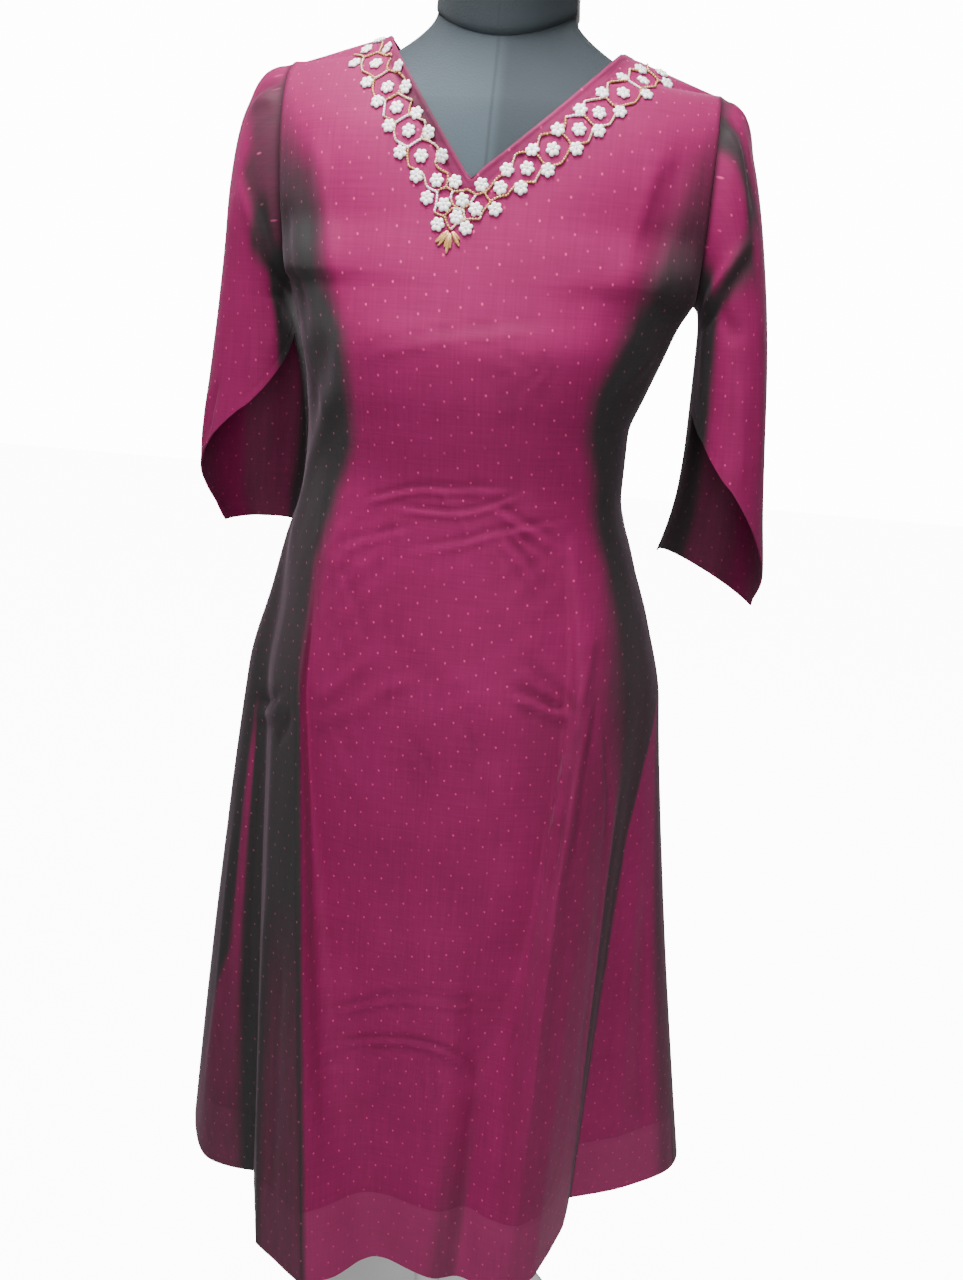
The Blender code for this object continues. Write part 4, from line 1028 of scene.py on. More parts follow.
def make_panel(name, back, creases, bands, seed, zones):
    """The grid moved out along its normals by all the relief, which fades at the sewn edges."""
    sides = even_columns(back)
    base = panel_points(back, sides)
    outward = np.array([0.0, 1.0 if back else -1.0, 0.2])
    normal = grid_normals(base, outward)
    low = SKIRT_ROWS
    angle = np.tile(90 * sides, (len(base), 1))
    height = base[..., 2]
    edge = base[-1][np.abs(base[-1, :, 0]) <= NECK_HALF + 0.002]
    distance, along = edge_distance(base, edge)
    relief = press(base, normal, angle, height, creases, (12.0, 0.10))
    relief += ripple(base, RIPPLE, seed) + crumple(base, CRUMPLE, seed + 40, zones)
    calm = ease((distance - NECK_FACING) / NECK_CALM)
    relief = relief * calm + neck_relief(distance, along, seed)
    relief -= HEM_LINE * bell(height - HEM - HEM_DEPTH, HEM_LINE_WIDTH)
    from_side = lengths(base, 1)
    seam = np.minimum(from_side, from_side[:, -1:] - from_side)
    shoulder = np.linalg.norm(base - base[-1], axis=2)
    sewn = np.where(np.abs(base[-1, :, 0]) >= NECK_HALF, ease(shoulder / SHOULDER_CALM), 1.0)
    relief *= ease(seam / SEAM_CALM) * sewn
    outer = base + normal * relief[..., None]
    n = grid_normals(outer, outward)
    for col, way in ((0, -1.0), (-1, 1.0)):
        n[:low + 1, col] = (way, 0, 0)
        n[low + 1:, col] = armhole_rim(outer[low + 1:, col], way)
    flat = np.abs(outer[-1, :, 0]) >= NECK_HALF
    upright = ease((np.abs(outer[-1, :, 0]) - NECK_HALF + 0.022) / 0.020)[:, None]
    n[-1] = unit(n[-1] * (1 - upright) + np.array([0, 0, 1.0]) * upright)
    n[-1, 0] = n[-1, -1] = (0, 0, 1)
    push = SEAM_GAP / 2 if back else -SEAM_GAP / 2
    outer[:low + 1, [0, -1], 1] += push
    outer[-1, flat, 1] += push
    shot = shot_zones(angle, height, bands, {} if back else LIT_FRONT)
    # Painted shade: a line along the armhole seam, the crease hollows and, on the front, the band of the neck
    # facing.
    armhole = (height > UNDERARM) * bell(seam, 0.0022)
    near_v = FACING_SHADE + FACING_SHADE_AT_V * bell(along - 0.118, 0.036)
    facing = ease((NECK_FACING + 0.001 - distance) / 0.003) * near_v
    dark = painted_crease_shade(relief) + ARMHOLE_SHADE * armhole + (0.0 if back else 1.0) * facing
    piece = shell(name, outer, n, cloth_map(base), shot, dark, False, SILK)
    return piece, outer, grid_normals(outer, outward)


front, front_points, front_normals = make_panel(
    "front_panel", False, FRONT_CREASES, SHOT_FRONT, 3, CRUMPLE_FRONT)
back = make_panel("back_panel", True, BACK_CREASES, SHOT_BACK, 8, CRUMPLE_BACK)[0]

# %% [markdown]
# Each petal sleeve is a tube whose rings lean more and more, cut along a slanting line that is high
# at the front and long at the back, so its lower edge stands open and shows the wrong side.

# %% Sleeve tables
SLEEVE_RIGHT = [
    # outer x, drop,  inner x, drop,  front, back,  y middle
    (0.1693, 0.0221, 0.1693, 0.1770, 0.052, 0.052, 0.000),
    (0.1860, 0.0330, 0.1735, 0.1815, 0.056, 0.054, 0.000),
    (0.2010, 0.0660, 0.1755, 0.1890, 0.057, 0.055, 0.001),
    (0.2150, 0.1120, 0.1765, 0.2000, 0.056, 0.054, 0.002),
    (0.2280, 0.1690, 0.1770, 0.2200, 0.053, 0.052, 0.003),
    (0.2380, 0.2300, 0.1775, 0.2520, 0.051, 0.050, 0.004),
    (0.2460, 0.2920, 0.1780, 0.2920, 0.050, 0.050, 0.005),
    (0.2540, 0.3540, 0.1760, 0.3340, 0.050, 0.052, 0.006),
    (0.2610, 0.4000, 0.1710, 0.3640, 0.050, 0.054, 0.008),
    (0.2630, 0.4370, 0.1650, 0.3880, 0.050, 0.056, 0.010),
]
SLEEVE_LEFT = [
    (0.1693, 0.0120, 0.1693, 0.1770, 0.052, 0.052, 0.000),
    (0.1880, 0.0185, 0.1735, 0.1815, 0.056, 0.054, 0.002),
    (0.2100, 0.0460, 0.1765, 0.1890, 0.057, 0.055, 0.006),
    (0.2250, 0.0960, 0.1750, 0.2030, 0.056, 0.055, 0.010),
    (0.2350, 0.1520, 0.1700, 0.2260, 0.053, 0.054, 0.014),
    (0.2460, 0.2080, 0.1660, 0.2600, 0.051, 0.053, 0.018),
    (0.2570, 0.2640, 0.1650, 0.3000, 0.050, 0.053, 0.022),
    (0.2660, 0.3200, 0.1690, 0.3420, 0.050, 0.054, 0.026),
    (0.2690, 0.3700, 0.1760, 0.3780, 0.050, 0.055, 0.028),
    (0.2620, 0.4050, 0.1820, 0.4020, 0.049, 0.055, 0.030),
]
CUT_RIGHT = [
    # round, drop
    (-30.0, 0.440), (0.0, 0.412), (25.0, 0.384), (50.0, 0.356), (90.0, 0.318),
    (130.0, 0.284), (166.0, 0.262), (176.0, 0.330), (188.0, 0.440), (330.0, 0.440),
]
CUT_LEFT = [
    (-30.0, 0.440), (-12.0, 0.384), (4.0, 0.362), (25.0, 0.343), (60.0, 0.312),
    (90.0, 0.286), (130.0, 0.250), (166.0, 0.220), (176.0, 0.300), (188.0, 0.440),
    (330.0, 0.440),
]
SLEEVE_CREASES_RIGHT = [
    # name, kind, rise mm, width mm, path of (round, way)
    ("head pleat front", "ridge", 2.0, 5, [(52, 0.00), (56, 0.12), (62, 0.26), (66, 0.38)]),
    ("head hollow front", "ridge", -2.2, 5, [(40, 0.01), (44, 0.12), (50, 0.26), (58, 0.40)]),
    ("head pleat top", "ridge", 2.0, 6, [(22, 0.00), (20, 0.12), (16, 0.26)]),
    ("head pleat back", "ridge", 1.8, 7, [(-10, 0.00), (-8, 0.14), (-4, 0.30)]),
    ("elbow drag", "fold", 3.2, 7, [(60, 0.42), (90, 0.43), (122, 0.42), (165, 0.46)]),
    ("elbow hollow", "ridge", -2.6, 8, [(124, 0.50), (104, 0.58), (84, 0.66)]),
    ("inner fold", "ridge", 2.0, 8, [(150, 0.50), (146, 0.70), (138, 0.96)]),
    ("front fall", "ridge", 1.8, 9, [(60, 0.50), (52, 0.70), (46, 0.94)]),
    ("outer fall", "ridge", -1.4, 9, [(24, 0.36), (20, 0.62), (16, 0.94)]),
    ("back fall", "ridge", 1.8, 10, [(300, 0.20), (304, 0.55), (308, 0.95)]),
    ("back hollow", "ridge", -1.8, 10, [(268, 0.20), (262, 0.55), (258, 0.95)]),
    ("back ridge", "ridge", 1.6, 10, [(236, 0.24), (232, 0.60), (228, 0.95)]),
    ("cuff wave", "ridge", 1.6, 7, [(84, 0.70), (80, 0.85), (78, 0.99)]),
]
SLEEVE_CREASES_LEFT = [
    ("head pleat front", "ridge", 2.0, 6, [(60, 0.00), (54, 0.10), (46, 0.24)]),
    ("head hollow front", "ridge", -2.2, 6, [(44, 0.01), (40, 0.12), (34, 0.26)]),
    ("head pleat top", "ridge", 1.8, 6, [(20, 0.00), (20, 0.12), (16, 0.26)]),
    ("head pleat back", "ridge", 1.8, 7, [(-14, 0.00), (-10, 0.14), (-4, 0.30)]),
    ("elbow drag", "ridge", 3.4, 8, [(66, 0.36), (90, 0.38), (118, 0.40), (146, 0.52), (168, 0.58)]),
    ("elbow hollow", "ridge", -3.0, 7, [(84, 0.28), (110, 0.30), (138, 0.40), (160, 0.50)]),
    ("inner fold", "ridge", 2.0, 8, [(140, 0.62), (132, 0.78), (122, 0.96)]),
    ("front fall", "ridge", 1.6, 9, [(64, 0.36), (58, 0.62), (52, 0.94)]),
    ("outer fall", "ridge", -1.4, 9, [(28, 0.34), (26, 0.62), (22, 0.92)]),
    ("edge nick one", "pleat", -2.2, 4, [(30, 1.00), (34, 0.94), (40, 0.86)]),
    ("edge nick two", "pleat", 2.0, 4, [(38, 1.00), (43, 0.92), (50, 0.84)]),
    ("edge nick three", "pleat", -2.0, 4, [(50, 1.00), (55, 0.93), (62, 0.86)]),
    ("edge nick four", "pleat", -1.8, 4, [(16, 1.00), (20, 0.93), (28, 0.87)]),
    ("back fall", "ridge", 1.8, 10, [(300, 0.20), (304, 0.55), (308, 0.95)]),
    ("back hollow", "ridge", -1.8, 10, [(266, 0.20), (262, 0.55), (256, 0.95)]),
    ("back ridge", "ridge", 1.6, 10, [(236, 0.24), (230, 0.60), (224, 0.95)]),
    ("hem curl", "ridge", 2.2, 6, [(340, 0.97), (310, 0.97), (280, 0.98)]),
]
# Painted sheen of the shot weave on the sleeves: charcoal where each sleeve turns away from the front, and
# painted shade on its underside.
SHOT_SLEEVE_RIGHT = [
    # name, from, to, soft from, soft to, way from, way to, fade, strength
    ("underside", 132, 240, 18.0, 20.0, -0.1, 1.1, 0.05, 1.00),
    ("front stripe", 50, 62, 12.0, 10.0, -0.05, 0.40, 0.10, 0.95),
    ("elbow fold", 66, 130, 12.0, 10.0, 0.38, 0.50, 0.10, 0.95),
    ("head", 20, 60, 16.0, 12.0, -0.10, 0.06, 0.06, 0.60),
    ("back", 255, 295, 22.0, 20.0, 0.1, 1.1, 0.20, 0.45),
]
SHOT_SLEEVE_LEFT = [
    ("underside", 136, 235, 14.0, 20.0, -0.1, 1.1, 0.05, 1.00),
    ("head", 50, 130, 22.0, 12.0, -0.10, 0.24, 0.10, 0.72),
    ("inner fold", 104, 140, 14.0, 10.0, 0.18, 0.50, 0.14, 0.90),
    ("hollow", 80, 110, 14.0, 14.0, 0.22, 0.34, 0.08, 0.75),
    ("back", 255, 295, 22.0, 20.0, 0.1, 1.1, 0.20, 0.45),
]
SLEEVE_ROUND = 0.29
SLEEVE_COLUMNS = 132
SLEEVE_ROWS = 96


# %% Sleeves
def sleeve_points(table, cut, side, rounds, ways):
    """Leaning rings: a superellipse between an outer and an inner point. Each column ends where its
    ring point reaches the cut's drop, found by halving."""
    columns = np.array(table).T
    steps = np.arange(len(table)) / (len(table) - 1)
    turn = np.radians(rounds)
    cut_table = np.array(cut)
    drop_end = np.interp((rounds + 30) % 360 - 30, cut_table[:, 0], cut_table[:, 1])

    def ring(step):
        """Points of the rings at a step for each column."""
        ox, oz, ix, iz, fore, aft, middle = (smooth(step, steps, c) for c in columns)
        c, s = np.cos(turn), np.sin(turn)
        power = 2 / 2.25
        c = np.sign(c) * np.abs(c) ** power
        s = np.sign(s) * np.abs(s) ** power
        x = (ox + ix) / 2 + c * (ox - ix) / 2
        drop = (oz + iz) / 2 + c * (oz - iz) / 2
        y = middle - s * np.where(s > 0, fore, aft)
        return np.stack([side * x, y, SHOULDER_TOP - drop], -1)

    low, high = np.zeros_like(rounds), np.ones_like(rounds)
    for _ in range(30):
        mid = (low + high) / 2
        beyond = SHOULDER_TOP - ring(mid)[..., 2] > drop_end
        high = np.where(beyond, mid, high)
        low = np.where(beyond, low, mid)
    end = np.where(drop_end > 0.43, 1.0, (low + high) / 2)
    return np.array([ring(end * w) for w in ways])


def make_sleeve(name, table, cut, side, creases, bands, seed, wrong_side_shade):
    """The tube with its creases, a sunk stitch line above the narrow hem, and a calm armhole."""
    rounds = np.linspace(-20, 340, SLEEVE_COLUMNS, endpoint=False)
    ways = np.linspace(0, 1, SLEEVE_ROWS)
    base = sleeve_points(table, cut, side, rounds, ways)
    centre = base.mean(1, keepdims=True)
    normal = grid_normals(base, base - centre, True)
    first = np.tile(rounds % 360, (len(ways), 1))
    second = np.repeat(ways[:, None], len(rounds), 1)
    table_turned = [(a, b, c, d, [(r % 360, w) for r, w in path]) for a, b, c, d, path in creases]
    relief = press(base, normal, first, second, table_turned, (14.0, 0.06)) + ripple(base, RIPPLE, seed)
    run = lengths(base, 0)
    to_edge = run[-1] - run
    relief -= CUFF_LINE * bell(to_edge - CUFF_LINE_UP, CUFF_LINE_WIDTH)
    relief *= ease(run / SLEEVE_HEAD_CALM)
    outer = base + normal * relief[..., None]
    n = grid_normals(outer, base - centre, True)
    n[0] = armhole_rim(outer[0], -side)
    u = np.tile(0.55 + np.append(rounds, 340.0) / 360 * SLEEVE_ROUND, (len(ways), 1))
    v = np.concatenate([base[..., 2], base[:, :1, 2]], 1) - SHOULDER_TOP - 0.1
    shot = shot_bands(first, second, bands)
    # Painted shade in the crease hollows and along the seam of the sleeve head.
    dark = painted_crease_shade(relief) + SLEEVE_HEAD_SHADE * bell(run, 0.0028)
    return shell(name, outer, n, np.stack([u, v], -1), shot, dark, True, SILK, wrong_side_shade)


sleeve_right = make_sleeve("petal_sleeve_right", SLEEVE_RIGHT, CUT_RIGHT, 1.0, SLEEVE_CREASES_RIGHT,
                           SHOT_SLEEVE_RIGHT, 11, 1.0)
sleeve_left = make_sleeve("petal_sleeve_left", SLEEVE_LEFT, CUT_LEFT, -1.0, SLEEVE_CREASES_LEFT,
                          SHOT_SLEEVE_LEFT, 17, 0.35)

# %% [markdown]
# The bead border has three rows of white flowers beside each edge of the V, the middle row half a step along.
# A chain of tube beads makes a six-sided cell round each middle flower. The rows of both sides meet under the
# V in smaller cells of their own, listed one by one, with a spray of small gold leaves below.

# %% Border layout
FLOWERS = [
    # row, (across, forward, height) of each flower in mm, from the V upward
    ("left inner", [(-20.5, -102.6, 1346.2), (-32.7, -98.2, 1362.1), (-44.3, -92.4, 1378.3),
                    (-55.0, -85.0, 1393.4), (-65.9, -73.9, 1411.1), (-74.8, -62.1, 1426.6),
                    (-88.0, -39.1, 1443.3), (-98.7, -20.1, 1452.9)]),
    ("left middle", [(-34.2, -101.9, 1346.5), (-47.6, -96.9, 1362.9), (-59.1, -90.0, 1380.4),
                     (-70.6, -80.9, 1396.9), (-80.1, -70.5, 1411.5), (-93.1, -52.8, 1429.9),
                     (-106.6, -28.1, 1444.4)]),
    ("left outer", [(-30.7, -107.5, 1315.8), (-40.5, -104.0, 1334.0), (-49.9, -100.1, 1348.9),
                    (-64.1, -94.3, 1365.0), (-74.9, -86.3, 1383.5), (-86.3, -75.4, 1400.7),
                    (-97.4, -63.4, 1415.3), (-111.7, -45.3, 1431.2)]),
    ("under the V", [(-27.1, -105.5, 1329.8), (-13.7, -105.3, 1333.5), (-17.0, -107.2, 1321.6),
                     (-3.3, -106.3, 1327.9)]),
    ("right inner", [(-0.6, -103.1, 1344.9), (17.3, -100.3, 1356.3), (33.8, -95.3, 1371.6),
                     (51.1, -88.5, 1386.2), (65.7, -78.2, 1401.8), (80.0, -65.9, 1415.0),
                     (93.3, -44.4, 1429.7), (105.7, -28.1, 1438.6)]),
    ("right middle", [(13.6, -103.3, 1343.6), (32.0, -99.3, 1358.0), (49.4, -93.8, 1372.2),
                      (66.6, -85.6, 1387.4), (79.8, -75.9, 1400.2), (95.3, -59.3, 1416.4),
                      (108.9, -35.6, 1429.9), (122.0, -15.6, 1439.4)]),
    ("right outer", [(-9.2, -108.4, 1314.3), (11.2, -106.2, 1328.7), (28.7, -102.7, 1344.3),
                     (47.2, -98.3, 1357.6), (66.2, -91.1, 1373.7), (80.9, -82.7, 1387.4),
                     (94.4, -70.5, 1402.2), (112.2, -52.3, 1417.3), (126.8, -23.0, 1431.2)]),
]
UNDER_V_FORWARD = -104.5
UNDER_V_LINES = [
    # name, corners (across, height) in mm
    ("left outside", [(-45.0, 1351.3), (-41.8, 1342.8), (-33.4, 1339.0), (-34.0, 1323.9), (-25.7, 1321.2),
                      (-20.4, 1311.6)]),
    ("left inside", [(-36.4, 1358.4), (-26.7, 1353.6), (-26.8, 1342.1), (-21.3, 1339.5), (-11.4, 1340.3),
                     (-4.1, 1338.0), (2.5, 1340.0), (8.2, 1350.8), (19.5, 1355.0)]),
    ("left bar", [(-33.4, 1339.0), (-26.8, 1342.1)]),
    ("right bar", [(2.5, 1340.0), (7.5, 1333.7)]),
    ("bowl", [(-21.3, 1339.5), (-22.3, 1334.0), (-19.6, 1329.1), (-13.4, 1327.4), (-7.6, 1331.2),
              (-4.1, 1338.0)]),
    ("low cell", [(-25.7, 1321.2), (-20.0, 1327.2), (-11.7, 1326.1), (-10.0, 1319.8)]),
    ("right outside", [(-20.4, 1311.6), (-15.6, 1317.5), (-10.0, 1319.8), (0.9, 1320.4), (1.9, 1325.4),
                       (7.5, 1333.7), (19.4, 1338.5), (26.1, 1346.6)]),
]
BAR_HALF = 0.0055
CELL_INNER, CELL_OUTER = 0.0134, 0.0116
CELL_LAG = 0.0012


def on_cloth(places, lift):
    """The foot of each place on the tangent plane of the nearest grid point of the front, raised."""
    p, n = (grid[SKIRT_ROWS - 24:].reshape(-1, 3) for grid in (front_points, front_normals))
    k = ((p ** 2).sum(1)[None] - 2 * places @ p.T).argmin(1)
    normal = n[k]
    foot = places - normal * ((places - p[k]) * normal).sum(1, keepdims=True)
    side = unit(np.cross([0.0, 0.0, 1.0], normal))
    return foot + normal * lift, normal, side, np.cross(normal, side)


def cell_chain(middles, way):
    """Bars half way between neighbours, and side corners a set distance out and in from each."""
    spots = np.array(middles) / 1000
    _, normal, _, _ = on_cloth(spots, 0.0)
    along = unit(np.gradient(spots, axis=0))
    inward = unit(np.cross(along, normal)) * -way
    bars = (spots[:-1] + spots[1:]) / 2
    bar_in = unit(inward[:-1] + inward[1:])
    lines = [[b + c * BAR_HALF, b - c * BAR_HALF] for b, c in zip(bars[1:], bar_in[1:])]
    for k in range(1, len(spots)):
        for sign, reach in ((1, CELL_INNER), (-1, -CELL_OUTER)):
            line = [bars[k - 1] + bar_in[k - 1] * BAR_HALF * sign,
                    spots[k] + inward[k] * reach - along[k] * CELL_LAG]
            if k < len(bars):
                line.append(bars[k] + bar_in[k] * BAR_HALF * sign)
            lines.append(line)
    return lines


flowers = np.array([place for row, line in FLOWERS for place in line]) / 1000
rows_of = dict(FLOWERS)
chain_lines = cell_chain(rows_of["left middle"], -1.0) + cell_chain(rows_of["right middle"], 1.0)
for name, corners in UNDER_V_LINES:
    chain_lines.append([np.array([x, UNDER_V_FORWARD, z]) / 1000 for x, z in corners])
print(len(flowers), "bead flowers,", len(chain_lines), "bead lines")

# %% [markdown]
# One flower is six glossy petals round a domed middle, with a tiny grey bead on it. One bead is a ball
# of few faces, because it is repeated many hundred times, and all the beads of one kind are one mesh.


# %% Bead shapes
def ball(rings, segments):
    """Points and triangles of a unit ball, its rows at equal angles from pole to pole."""
    polar = np.linspace(0, np.pi, rings + 1)[1:-1]
    turn = np.arange(segments) * 2 * np.pi / segments
    body = np.stack([np.outer(np.sin(polar), np.cos(turn)), np.outer(np.sin(polar), np.sin(turn)),
                     np.outer(np.cos(polar), np.ones(segments))], -1).reshape(-1, 3)
    points = np.vstack([body, [0, 0, 1], [0, 0, -1]])
    faces = []
    for r in range(rings - 2):
        for s in range(segments):
            a, b = r * segments + s, r * segments + (s + 1) % segments
            faces += [(a, a + segments, b + segments), (a, b + segments, b)]
    top, foot = len(points) - 2, len(points) - 1
    last = (rings - 2) * segments
    for s in range(segments):
        t = (s + 1) % segments
        faces += [(top, s, t), (foot, last + t, last + s)]
    return points, np.array(faces)


def scatter(name, shape, centres, frames, sizes, material):
    """One mesh of many copies: points times sizes, turned by each frame, moved to each centre."""
    points, faces = shape
    placed = np.einsum("nk,mk,mkj->mnj", points, sizes, frames) + centres[:, None]
    everything = faces[None] + (np.arange(len(centres)) * len(points))[:, None, None]
    return add_piece(name, placed.reshape(-1, 3), everything.reshape(-1, 3), material)


def bead_finish(name, colour, second, roughness, metallic, coat):
    """Glossy beads with a slow change of tone from bead to bead."""
    material, tree, shader = new_material(name)
    noise = object_noise(tree, 320.0, 1.0)
    rough = maths(tree, "MULTIPLY_ADD", noise, 0.16, roughness)
    wire(tree, shader, blend(tree, noise, colour, second), rough,
         {"Metallic": metallic, "Coat Weight": coat, "Coat Roughness": 0.15})
    return material


WHITE_BEAD = bead_finish("white bead", (0.97, 0.97, 0.96), (0.99, 0.99, 0.98), 0.22, 0.0, 0.6)
GOLD_BEAD = bead_finish("gold bead", (0.36, 0.15, 0.04), (0.72, 0.42, 0.16), 0.18, 0.30, 0.6)
PALE_BEAD = bead_finish("pale bead", (0.55, 0.34, 0.18), (0.93, 0.76, 0.56), 0.20, 0.10, 0.5)
GREY_BEAD = bead_finish("grey bead", (0.36, 0.37, 0.39), (0.58, 0.59, 0.60), 0.25, 0.0, 0.5)

# %% Flowers
PETAL_RING = 0.00295
PETAL_SIZE = (0.00262, 0.00215, 0.00120)
MIDDLE_SIZE = (0.0021, 0.0021, 0.0013)
EYE_SIZE = (0.00065, 0.00065, 0.00050)
centre, n, side, up = on_cloth(flowers, 0.0009)
rng = np.random.default_rng(5)
start = rng.uniform(0, np.pi / 3, len(flowers))
turn = start[:, None] + np.arange(6) * np.pi / 3
spoke = side[:, None] * np.cos(turn)[..., None] + up[:, None] * np.sin(turn)[..., None]
petals = (centre[:, None] + spoke * PETAL_RING).reshape(-1, 3)
normal6 = np.repeat(n[:, None], 6, 1)
frames = np.stack([spoke, np.cross(normal6, spoke), normal6], -2).reshape(-1, 3, 3)
eye_frames = np.stack([side, up, n], -2)
petals = np.concatenate([petals, centre])
frames = np.concatenate([frames, eye_frames])
sizes = np.concatenate([np.tile(PETAL_SIZE, (len(petals) - len(centre), 1)),
                        np.tile(MIDDLE_SIZE, (len(centre), 1))])
petal_piece = scatter("bead_flower_petals", ball(6, 10), petals, frames, sizes, WHITE_BEAD)
eye_piece = scatter("bead_flower_eyes", ball(5, 8), centre + n * 0.0011, eye_frames,
                    np.tile(EYE_SIZE, (len(centre), 1)), GREY_BEAD)

# %% [markdown]
# The bead lines are threads of tube beads stitched down end to end. Each leg of a line bows a little,
# as a thread of beads does between its stitches, and is gold, pale or white.

# %% Bead chain
BEAD_STEP = 0.0021
TUBE_BEAD_SIZE = (0.00135, 0.00098, 0.00095)
LEG_BOW = 0.10
LEG_COLOURS = [("bead_lines_gold", GOLD_BEAD, 0.60), ("bead_lines_pale", PALE_BEAD, 0.28),
               ("bead_lines_white", WHITE_BEAD, 0.12)]
legs = {name: [] for name, finish, share in LEG_COLOURS}
for line in chain_lines:
    spots, normal, _, _ = on_cloth(np.array(line), 0.0)
    for a, b, n in zip(spots[:-1], spots[1:], normal[:-1]):
        length = np.linalg.norm(b - a)
        count = max(int(round(length / BEAD_STEP)), 2)
        t = (np.arange(count) + 0.5) / count
        bow = rng.uniform(-1.0, 1.0) * LEG_BOW
        places = a + t[:, None] * (b - a) + (4 * t * (1 - t) * bow)[:, None] * np.cross(n, b - a)
        pick = rng.choice(len(LEG_COLOURS), p=[share for name, finish, share in LEG_COLOURS])
        legs[LEG_COLOURS[pick][0]].append(np.column_stack([places, np.tile(unit(b - a), (len(t), 1))]))


def bead_run(name, places, material):
    """Tube beads whose long way follows their line."""
    rows = np.concatenate(places)
    spot, n, _, _ = on_cloth(rows[:, :3], 0.0008)
    forward = unit(rows[:, 3:] - n * (rows[:, 3:] * n).sum(1, keepdims=True))
    frames = np.stack([forward, np.cross(n, forward), n], -2)
    return scatter(name, ball(5, 7), spot, frames, np.tile(TUBE_BEAD_SIZE, (len(rows), 1)), material)


line_pieces = [bead_run(name, legs[name], finish) for name, finish, share in LEG_COLOURS]

# %% Leaf sprigs
LEAVES = [
    # name, from (across, height), to (across, height), half width, all in mm
    ("left", (-21.5, 1311.5), (-31.5, 1302.5), 1.7),
    ("left low", (-21.0, 1310.5), (-29.5, 1299.8), 1.3),
    ("left high", (-22.0, 1312.0), (-29.5, 1306.0), 1.1),
    ("middle", (-20.6, 1310.5), (-22.3, 1294.5), 1.6),
    ("middle left", (-21.2, 1309.5), (-24.3, 1299.0), 1.1),
    ("middle right", (-20.0, 1309.5), (-19.6, 1298.5), 1.2),
    ("right", (-19.6, 1311.5), (-12.8, 1300.5), 1.6),
    ("right high", (-18.8, 1311.5), (-13.0, 1305.5), 1.2),
]
ends = np.array([[(a[0], UNDER_V_FORWARD - 4, a[1]), (b[0], UNDER_V_FORWARD - 4, b[1])]
                 for name, a, b, width in LEAVES]) / 1000
spot, n, side, up = on_cloth(ends.mean(1), 0.0008)
forward = ends[:, 1] - ends[:, 0]
length = np.linalg.norm(forward, axis=1)
forward = unit(forward - n * (forward * n).sum(1, keepdims=True))
leaf_frames = np.stack([forward, np.cross(n, forward), n], -2)
half_widths = [width / 1000 for name, a, b, width in LEAVES]
leaf_sizes = np.column_stack([length / 2, half_widths, np.full(len(LEAVES), 0.0010)])
leaf_piece = scatter("leaf_sprigs", ball(8, 10), spot, leaf_frames, leaf_sizes, GOLD_BEAD)

# %% [markdown]
# The dress form is a padded torso covered in slate cloth, with a seam down its middle, and a darker
# cap on its neck. The torso is the same rings as its solid, with more points.

# %% Torso of the form
FORM_SECTIONS = [
    # height, half,  front, back,  roundness
    (1.420, 0.1630, 0.073, 0.076, 2.60),
    (1.350, 0.1630, 0.0885, 0.086, 2.60),
    (1.273, 0.1590, 0.106, 0.081, 2.50),
    (1.250, 0.1470, 0.112, 0.082, 2.50),
    (1.225, 0.1360, 0.1160, 0.082, 2.45),
    (1.195, 0.1260, 0.114, 0.079, 2.40),
    (1.165, 0.1200, 0.108, 0.075, 2.35),
    (1.115, 0.1200, 0.099, 0.072, 2.30),
    (1.050, 0.1370, 0.100, 0.079, 2.30),
    (1.000, 0.1520, 0.103, 0.089, 2.30),
    (0.920, 0.1640, 0.107, 0.102, 2.30),
    (0.870, 0.1620, 0.105, 0.104, 2.30),
    (0.845, 0.1500, 0.095, 0.095, 2.30),
    (0.835, 0.1300, 0.080, 0.080, 2.20),
]
NECK_RADIUS = 0.0575
NECK_TOP = SHOULDER_TOP + 0.085
NECK_SEAM_SIDE = SHOULDER_TOP + 0.030
NECK_SEAM_DIP = 0.030
SHOULDER_LIFT = 0.015
FORM_TOP = 1.406
FORM_TOP_HALF_WIDTH, FORM_TOP_HALF_DEPTH = 0.163, 0.066
FORM_ARM_HALF_DEPTH = 0.044
RING_STEPS = 61
FORM_ROWS = 110
NECK_ROWS = 46


def form_ring(height):
    """Front curve, side plate, back curve and side plate of the torso at one height."""
    columns = np.array(FORM_SECTIONS).T
    half, fore, aft, power = (smooth(height, columns[0], c) for c in columns[1:])
    across = np.sin(np.radians(np.linspace(-90, 90, RING_STEPS)))
    across = np.sign(across) * np.abs(across) ** (2 / power)
    arm = max(float(arm_depth(height, FORM_ARM_HALF_DEPTH, SHOULDER_TIP - 0.009, UNDERARM + 0.010)), 0.006)
    x = across * half
    ridge = shoulder_line(x, 0.005)
    y_front = -chest_depth(x, height, fore, power, arm, ridge, half)
    y_back = chest_depth(x, height, aft, power, arm, ridge, half)
    ring = np.concatenate([np.stack([x, y_front], -1), np.stack([x[::-1], y_back[::-1]], -1)])
    return np.column_stack([ring, np.full(len(ring), height)])


def neck_seam(turn):
    """The seam between torso and cap dips at the front like a power of the sine."""
    return NECK_SEAM_SIDE - NECK_SEAM_DIP * np.clip(-np.sin(turn), 0, 1) ** 1.5


